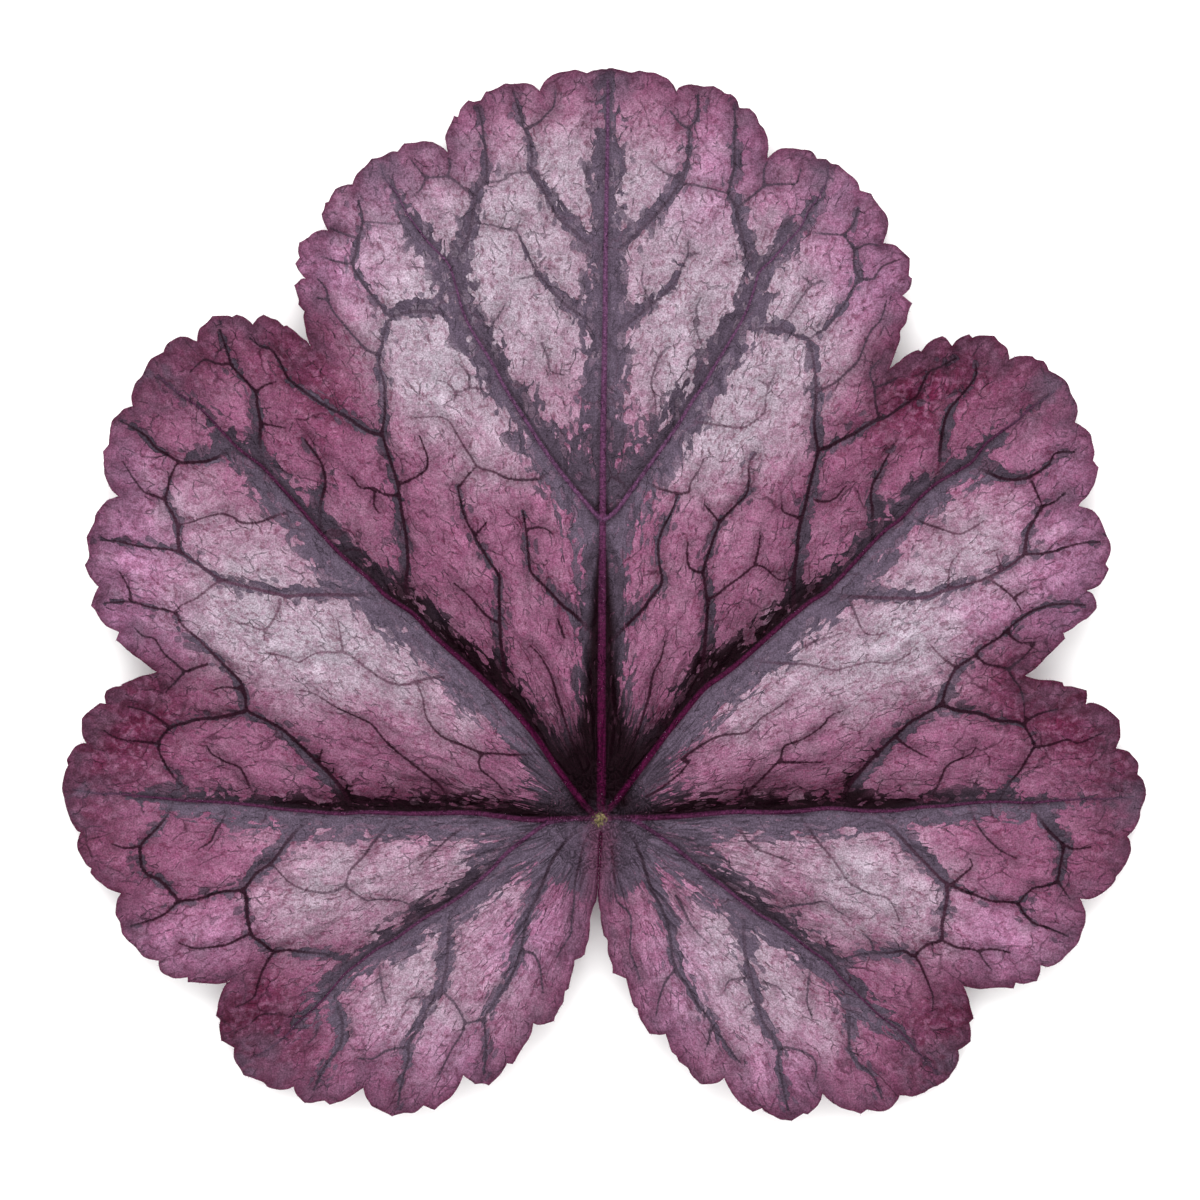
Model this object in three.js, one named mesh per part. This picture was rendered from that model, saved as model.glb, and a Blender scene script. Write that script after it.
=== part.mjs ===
import * as THREE from "three";

// A heuchera leaf, as picked, lying right side up. Sizes are in millimetres and +Z is up.
// Places on the leaf are read from the point where its main veins meet, x to the right and y to the tip.

// Where that point lies from the middle of the leaf's box.
const JUNCTION_X = -0.4;
const JUNCTION_Y = -22.65;

// The blade.
const BLADE_THICKNESS = 0.78;
const VEIN_FLOOR = 1.1; // upper face beside a main vein, above the surface that the leaf lies on
const FOLD_HEIGHT = 5.8; // the folds between the main veins, above their floors
const FOLD_REACH = 9.5;
const BRANCH_VALLEY = 1.2; // how far a branch sinks into a fold
const BRANCH_REACH = 2.8;
const CELL_BULGE = 0.55; // how far each cell of the net swells
const CELL_REACH = 1.3;
const RIM_DROOP = 0.8;
const RIM_REACH = 2.4;
const WAVE_HEIGHT = 0.55; // slow waves of the outer lobes
const WAVE_COUNT = 5;

// The ribs on the upper face and the keels that they make on the under face.
const RIB_HALF_WIDTH = 0.75;
const RIB_RISE = 0.45;
const KEEL_HALF_WIDTH = 1.7;
const KEEL_DEPTH = 1.6;
const BRANCH_SHARE = 0.45; // a branch's keel against a main vein's
const NET_KEEL = 0.35;
const NET_HALF_WIDTH = 1.2;

// The cut end of the stalk, under the junction, and the flat of the midrib that the leaf rests on.
const SCAR_RADIUS = 1.8;
const REST_RADIUS = 1.6;

// Spacing of the points that the blade is built on.
const RIM_STEP = 1.1;
const VEIN_STEP = 2.0;
const FIELD_STEP = 2.4;
const CURVE_STEP = 1.0;
const SEED = 20417;

// The rim, clockwise from the left upper sinus. Each row is one scallop, from its notch to the next one's.
const RIM = [
  // Top lobe.
  [-28.8, 47.2, -29.2, 48.1, -29.4, 49.1, -29.6, 50.2],
  [-29.5, 50.8, -30.1, 51.5, -30.1, 52.1, -30.5, 53.4, -29.8, 54.0],
  [-29.4, 54.1, -30.1, 54.9, -30.4, 55.6],
  [-30.0, 56.2, -30.15, 56.8, -30.05, 57.7, -29.3, 58.1, -28.6, 58.7, -27.8, 59.0],
  [-27.2, 58.95, -27.6, 59.7, -27.85, 60.6, -27.6, 61.2, -27.5, 61.75],
  [-27.15, 61.85, -26.9, 62.4, -26.5, 63.1, -25.9, 63.45, -25.3, 63.6],
  [-24.8, 63.6, -24.45, 64.5, -24.0, 65.0, -23.4, 65.55, -22.85, 66.2, -22.2, 66.3, -21.6, 66.55],
  [-20.9, 66.9, -20.3, 66.9, -19.6, 67.7, -18.5, 67.75, -17.8, 67.9, -16.75, 67.8, -15.65, 67.2],
  [-15.25, 66.75, -15.4, 67.7, -15.5, 68.2, -15.25, 68.95, -14.8, 69.85, -14.6, 70.35],
  [-14.2, 70.3, -13.95, 71.0, -13.5, 71.6, -13.15, 71.93, -12.6, 71.8],
  [-11.93, 71.95, -11.4, 72.8, -10.9, 72.85, -10.1, 73.25, -9.45, 73.6, -8.85, 73.57, -7.95, 73.65],
  [-7.2, 73.62, -6.6, 73.37, -6.15, 72.97],
  [-6.03, 72.8, -5.88, 73.3, -5.43, 73.95, -4.8, 74.45, -4.25, 74.7, -3.1, 74.9, -2.4, 75.04],
  [-1.3, 74.72, -0.77, 74.98, -0.05, 75.13, 0.65, 75.16, 0.99, 75.27, 1.9, 75.1, 2.65, 74.9],
  [3.1, 74.77, 4.0, 74.95, 4.6, 74.77, 5.35, 74.7, 6.1, 74.4, 6.85, 74.0, 7.35, 73.4],
  [7.65, 72.8, 7.9, 73.2, 8.6, 73.46, 9.45, 73.46, 10.4, 73.27, 11.27, 73.28, 11.9, 72.96],
  [12.65, 72.48, 13.06, 72.46, 13.6, 72.05],
  [13.93, 71.13, 14.95, 71.08, 15.5, 70.54, 15.76, 70.0],
  [15.88, 69.6, 16.4, 69.0, 16.65, 68.4, 16.83, 67.65, 16.8, 66.8],
  [16.74, 66.12, 17.45, 66.8, 18.2, 67.13, 19.25, 67.18, 20.15, 67.07, 20.95, 67.02, 21.4, 66.7],
  [21.73, 66.18, 22.6, 66.15, 23.1, 65.75, 23.9, 65.57, 24.45, 65.0, 25.3, 64.4, 25.8, 63.8],
  [26.02, 63.0, 27.15, 62.65, 27.5, 62.0, 27.95, 61.4, 28.6, 60.55, 28.82, 59.85, 28.77, 59.05],
  [28.32, 57.65, 28.95, 57.58, 29.6, 57.4, 30.0, 57.0, 30.95, 56.14, 30.92, 55.4],
  [30.85, 54.35, 31.14, 54.1, 31.07, 53.5, 30.75, 52.85],
  [30.2, 52.4, 31.16, 51.6, 30.93, 51.15],
  [30.67, 50.25, 30.6, 49.7, 30.1, 49.05],
  [29.93, 48.7, 29.95, 48.0, 29.5, 46.7, 29.17, 45.75],
  // Right upper lobe.
  [28.87, 45.07, 29.9, 45.83, 30.7, 46.5, 31.78, 47.0],
  [32.08, 46.83, 32.45, 47.3, 33.0, 47.85, 33.67, 48.19, 34.2, 48.36, 34.66, 48.09],
  [35.19, 47.42, 35.55, 47.87, 36.1, 48.28, 36.9, 48.55],
  [37.22, 48.23, 37.9, 48.45, 39.4, 48.41, 40.04, 47.7, 40.6, 47.3, 40.85, 46.8],
  [40.94, 46.08, 41.75, 46.4, 42.46, 46.44, 43.27, 46.4, 43.63, 46.08, 44.35, 45.95, 44.7, 45.55],
  [44.94, 45.0, 45.95, 44.46, 46.6, 44.0, 46.95, 43.4, 47.13, 42.76, 47.72, 41.7, 47.8, 40.9],
  [47.53, 39.76, 48.05, 39.5, 48.6, 39.1, 49.07, 38.55, 49.23, 37.8, 49.41, 36.85],
  [49.24, 35.92, 49.78, 35.25, 49.6, 34.5, 49.4, 33.7, 49.1, 33.1, 48.6, 32.3, 48.05, 31.8],
  [47.8, 31.41, 49.07, 30.98, 49.8, 30.2, 50.26, 29.17, 50.6, 28.35, 50.94, 27.6, 50.85, 26.6],
  [50.4, 25.58, 50.7, 25.13, 50.4, 24.4, 49.86, 23.6, 49.23, 23.15],
  [48.51, 22.94, 49.05, 22.7, 49.4, 22.05, 49.55, 21.23, 48.7, 20.25, 48.0, 19.85, 46.7, 18.92],
  [46.15, 18.73, 46.35, 18.18, 45.85, 17.65, 45.1, 16.9, 44.5, 16.3, 44.0, 15.75, 43.2, 15.0],
  // Right side lobe.
  [42.41, 14.46, 43.26, 14.16, 44.16, 14.05, 45.23, 13.98, 46.13, 13.78],
  [46.27, 13.42, 47.03, 13.38, 47.92, 13.17, 48.52, 12.99, 48.61, 12.49],
  [48.46, 11.59, 49.0, 11.77, 49.72, 11.6, 50.31, 11.32, 51.87, 10.0, 52.02, 8.63, 51.8, 7.75],
  [51.55, 7.19, 52.68, 6.92, 53.31, 6.38, 53.85, 5.67, 53.85, 4.95],
  [53.79, 4.55, 54.35, 3.96, 54.69, 2.52, 54.15, 1.0, 54.03, 0.2, 53.67, -0.62, 53.13, -1.33],
  [52.76, -1.65, 53.03, -2.15, 53.1, -3.1, 52.87, -3.76, 52.53, -4.45, 51.95, -5.26],
  [51.56, -5.65, 51.49, -6.05, 50.77, -6.86, 49.87, -7.49, 48.89, -7.88],
  [47.99, -7.85, 48.49, -9.1, 48.47, -10.18, 48.17, -11.08, 47.76, -12.24, 47.18, -12.87],
  [46.25, -13.77, 45.83, -14.13, 45.2, -14.49, 44.67, -14.63],
  [43.99, -14.45, 43.95, -15.03, 43.59, -16.01, 42.24, -16.32],
  [41.5, -16.2, 41.3, -16.78, 40.0, -16.7, 38.9, -16.77, 37.86, -16.87, 36.95, -16.68],
  // Right lower lobe.
  [36.33, -16.57, 36.65, -17.3, 36.92, -18.1, 37.04, -18.8, 37.34, -19.8],
  [36.92, -20.25, 37.07, -21.1, 37.07, -22.1, 36.5, -22.63],
  [35.83, -23.03, 35.93, -23.8, 35.72, -24.58, 35.36, -25.12, 34.9, -25.84, 34.1, -26.46, 33.03, -26.91],
  [32.5, -27.27, 31.23, -27.68, 30.5, -27.54],
  [29.98, -27.54, 29.7, -28.08, 28.9, -28.89, 28.0, -29.1, 27.28, -29.03],
  [26.66, -28.89, 26.03, -29.3, 25.2, -28.97, 24.4, -28.8, 23.5, -28.35, 22.8, -27.85],
  [22.2, -27.27, 22.08, -27.77, 21.68, -28.48, 20.73, -29.3],
  [20.3, -29.23, 19.12, -29.96, 18.2, -29.85, 17.59, -29.6, 16.5, -29.07],
  [16.15, -28.65, 15.2, -29.03, 14.6, -28.58, 14.0, -28.15, 13.28, -27.36, 12.78, -26.55],
  [12.39, -25.66, 11.76, -26.1, 11.13, -26.25, 10.05, -26.25, 9.5, -25.75, 9.08, -25.3],
  [8.7, -24.6, 7.9, -24.05, 7.6, -23.45, 7.15, -23.05, 6.84, -22.17],
  [6.55, -21.29, 5.9, -21.38, 4.92, -21.26, 4.55, -20.64, 4.15, -20.05, 3.85, -19.35],
  [3.74, -18.74, 3.34, -18.49, 3.1, -17.75, 2.8, -16.6],
  [2.6, -15.77, 1.64, -15.35, 1.26, -15.18, 1.2, -14.4, 0.98, -13.8, 0.77, -13.0],
  [0.74, -12.0, 0.38, -11.5, 0.27, -11.0, 0.1, -10.2, 0.05, -9.5, -0.1, -8.4],
  // The slit between the two lower lobes.
  [-0.12, -7.9, 0.0, -6.4, 0.12, -4.8, 0.22, -3.3],
  [0.08, -1.3, -0.08, -3.3, -0.14, -4.8, -0.24, -6.4],
  // Left lower lobe.
  [-0.4, -7.9, -0.95, -9.7, -1.0, -10.7, -1.13, -11.86, -1.4, -12.76, -1.52, -13.39, -2.0, -13.74],
  [-2.53, -13.98, -2.65, -14.8, -2.9, -15.7, -3.14, -16.8],
  [-3.5, -17.0, -3.64, -18.05, -4.1, -18.86, -4.45, -19.5, -4.57, -20.0, -5.6, -20.33, -6.3, -20.39],
  [-6.66, -20.2, -6.73, -20.83, -7.14, -21.82, -7.87, -22.9, -8.67, -24.33],
  [-9.29, -24.2, -9.56, -24.78, -10.0, -25.4, -11.09, -26.45, -11.63, -26.27, -12.5, -26.3],
  [-13.66, -25.41, -13.95, -26.25, -14.4, -27.0, -15.0, -27.7, -15.9, -28.3, -16.5, -28.86],
  [-17.62, -28.45, -18.5, -29.17, -19.58, -29.22, -20.75, -29.53, -21.75, -29.03, -22.67, -28.58],
  [-23.0, -28.17, -23.33, -27.67, -23.53, -27.08],
  [-23.63, -26.7, -24.58, -27.37, -25.75, -28.03, -27.0, -28.42],
  [-27.53, -28.0, -28.67, -28.25, -29.5, -28.28, -30.25, -27.58, -30.53, -27.08],
  [-30.63, -26.67, -31.17, -26.88, -32.0, -26.97, -32.83, -26.83, -33.33, -26.63],
  [-33.7, -26.25, -34.83, -25.83, -35.67, -25.53, -35.97, -25.0, -36.53, -24.08, -36.67, -23.5],
  [-36.6, -22.8, -37.5, -22.25, -37.87, -22.03, -38.05, -20.67, -37.95, -20.03],
  [-38.0, -19.85, -38.37, -19.5, -38.2, -18.83, -38.08, -18.0, -37.75, -17.08, -37.42, -16.42],
  // Left side lobe.
  [-36.9, -15.95, -37.4, -16.24, -38.33, -16.33, -39.33, -16.25, -40.33, -16.17, -41.12, -16.13],
  [-41.13, -15.63, -42.33, -15.75, -43.08, -15.47, -43.75, -15.08, -44.0, -14.5],
  [-43.97, -13.97, -45.0, -13.8, -45.67, -13.42, -46.33, -12.63, -47.0, -12.08, -47.67, -11.33],
  [-47.83, -10.75, -48.0, -10.0, -48.33, -9.47, -48.33, -8.67, -48.17, -7.83],
  [-47.83, -7.3, -48.33, -7.13, -49.17, -6.8, -50.0, -6.17, -50.5, -5.75, -50.92, -5.2],
  [-50.83, -4.83, -51.42, -4.33, -51.92, -3.5, -52.28, -2.83, -52.25, -2.0],
  [-51.97, -1.22, -52.42, -1.0, -53.0, 0.0, -53.38, 1.0, -53.67, 2.17, -53.88, 3.17, -53.58, 4.75],
  [-53.25, 5.42, -53.38, 6.0, -53.0, 6.67, -52.5, 7.33, -51.83, 7.63],
  [-51.37, 7.67, -51.67, 8.17, -51.83, 8.83, -51.8, 10.17, -51.33, 10.67, -50.7, 11.17, -50.0, 11.7],
  [-49.37, 11.62, -49.47, 12.33, -49.33, 12.92, -48.67, 13.28, -47.83, 13.45],
  [-47.7, 13.6, -46.67, 14.05, -45.83, 14.42, -45.0, 14.58],
  // Left upper lobe.
  [-44.2, 14.8, -45.0, 15.33, -45.83, 16.0, -46.67, 16.58, -47.5, 17.33, -48.3, 18.0],
  [-47.97, 18.8, -49.25, 19.42, -50.0, 20.25, -50.33, 20.92, -50.8, 21.42, -50.5, 22.33],
  [-50.0, 23.33, -50.5, 23.83, -51.0, 24.58, -51.37, 25.5],
  [-50.97, 26.17, -51.0, 27.0, -51.2, 28.25, -50.83, 29.0, -50.42, 29.83, -50.33, 30.42],
  [-49.83, 31.17, -49.17, 31.92, -48.5, 32.2],
  [-48.0, 32.33, -48.67, 32.92, -49.08, 33.67, -49.42, 34.5, -49.53, 36.17, -49.62, 36.83],
  [-49.03, 37.53, -49.0, 38.42, -48.92, 39.17, -48.75, 40.0, -48.17, 40.58, -47.58, 41.13],
  [-46.75, 41.4, -46.87, 42.17, -46.75, 43.0, -46.42, 43.83, -45.92, 44.33, -45.08, 46.0, -44.5, 46.42],
  [-43.67, 46.83, -43.47, 47.42, -43.0, 47.83, -42.0, 48.33, -41.17, 48.25, -40.67, 48.0],
  [-40.28, 47.87, -40.25, 48.5, -40.0, 49.17, -39.33, 49.67, -38.75, 50.38, -37.33, 50.42],
  [-36.75, 50.25, -36.25, 50.53, -35.67, 50.3, -35.08, 49.92],
  [-34.7, 49.5, -34.25, 50.08, -33.58, 50.5, -32.83, 50.13, -32.17, 49.92],
  [-31.55, 49.3, -31.25, 49.38, -30.58, 48.92, -29.83, 48.25, -29.25, 47.83],
];

// The main veins, from the junction or from the vein that each leaves, outwards.
const MAIN_VEINS = [
  // Midrib.
  [0.1, 0.2, 0.15, 6, 0.15, 12, 0.2, 20, 0.25, 28, 0.28, 36, 0.4, 44, 0.5, 50, 0.55, 56, 0.65, 62,
    0.75, 68, 0.8, 74],
  // To the left upper lobe.
  [0.1, 0.2, -1.2, 1.1, -4.1, 4.85, -6.4, 8.25, -9.5, 11.85, -12.9, 15.1, -16.5, 18.3, -18.7, 20.6,
    -21.4, 22.4, -23, 24, -26.4, 27, -30, 31.15, -32.3, 33.7, -34, 35.5, -36, 37, -37.7, 38.7,
    -39.3, 40.5, -40.7, 41.7, -42.2, 42.7, -44.2, 44.4],
  // To the right upper lobe.
  [0.1, 0.2, 1.1, 1.25, 2.75, 3.4, 4.5, 5.7, 6.5, 8.4, 8.3, 10.6, 10.4, 13.1, 12.2, 14.4, 14, 15.8,
    17.6, 19, 19.4, 20.5, 21.15, 21.9, 22.6, 22.8, 24.4, 24.6, 26.8, 27.2, 28.6, 29, 30.2, 30.2,
    31.8, 32, 33.6, 33.6, 35.4, 34.7, 37.2, 35.8, 38.6, 37.6, 40.1, 38.8, 41.7, 39.9, 43.1, 41.2,
    45.5, 42.9],
  // To the left side lobe.
  [0.1, 0.2, -2.4, 0.1, -6.2, 0.0, -8.05, 0.08, -10.7, 0.43, -13.4, 0.7, -18.8, 0.6, -23.5, 0.75,
    -26, 0.6, -29, 0.83, -31.7, 1.05, -34.2, 1.4, -36.7, 1.65, -39.2, 1.83, -41.7, 1.9, -43.3, 2.1,
    -45.8, 2.33, -48.3, 2.6, -50, 2.6, -52.8, 3.0],
  // To the right side lobe.
  [0.1, 0.2, 1.6, 0.2, 5.2, 0.2, 8.8, 0.4, 11.5, 0.64, 14.15, 0.8, 16.85, 0.73, 19.5, 0.8, 22.2, 1.1,
    24, 1.1, 26, 0.9, 29.4, 0.9, 32.1, 1.24, 34.8, 1.4, 37.5, 1.7, 40.15, 1.8, 42.85, 1.7,
    45.5, 1.9, 48.2, 2.05, 50.9, 2.1, 53.4, 2.3],
  // To the left lower lobe.
  [-2.4, 0.1, -4.2, -0.1, -5.4, -0.4, -6.6, -1.2, -8.05, -2.3, -9.5, -3.5, -10.7, -4.8, -12, -6,
    -13.8, -7.5, -15.6, -8.7, -17.2, -9.6, -18.8, -10.7, -20.6, -12, -22.4, -13, -24.2, -14.4,
    -25.4, -15.3, -26.7, -16.8, -28, -18.3, -29.3, -19.5, -30.5, -20.5, -31.3, -21.5, -32.5, -22.5,
    -34.6, -23.8],
  // To the right lower lobe.
  [1.6, 0.2, 3.4, -0.1, 5.2, -1.15, 7, -2.4, 8.8, -3.85, 10.6, -5.3, 12.4, -6.7, 14.15, -8.15,
    15.95, -9.5, 17.4, -10.3, 19.2, -11.6, 21, -13, 22.8, -14.3, 24, -15.7, 25.6, -17.3,
    26.7, -18.4, 28.1, -19.7, 29.7, -20.9, 31.2, -22.4, 32.5, -24.0, 33.8, -25.4],
  // The two strong forks of the midrib.
  [0.25, 30, -0.7, 30.9, -2.9, 33.5, -5.4, 36.8, -7.2, 39.6, -9.4, 43.05, -10.8, 45.7, -12.6, 48.6,
    -13.7, 50.8, -14.4, 53.3, -15.0, 55.3, -15.8, 56.4, -17, 57.6, -18.4, 59.4, -19.5, 61,
    -20.4, 62.8, -21.4, 64.0, -22.0, 65.6],
  [0.25, 30, 1.57, 30.9, 3.5, 33.5, 5.9, 36.8, 7.85, 39.6, 9.3, 42.0, 10.3, 43.4, 11.9, 46.1,
    13.3, 48.4, 14.6, 50.8, 15.5, 53.3, 15.95, 54.8, 17.3, 56.15, 18.7, 57.8, 20, 59.2, 20.9, 61,
    21.8, 62.25, 22.7, 63.9, 22.9, 65.5],
];

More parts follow.
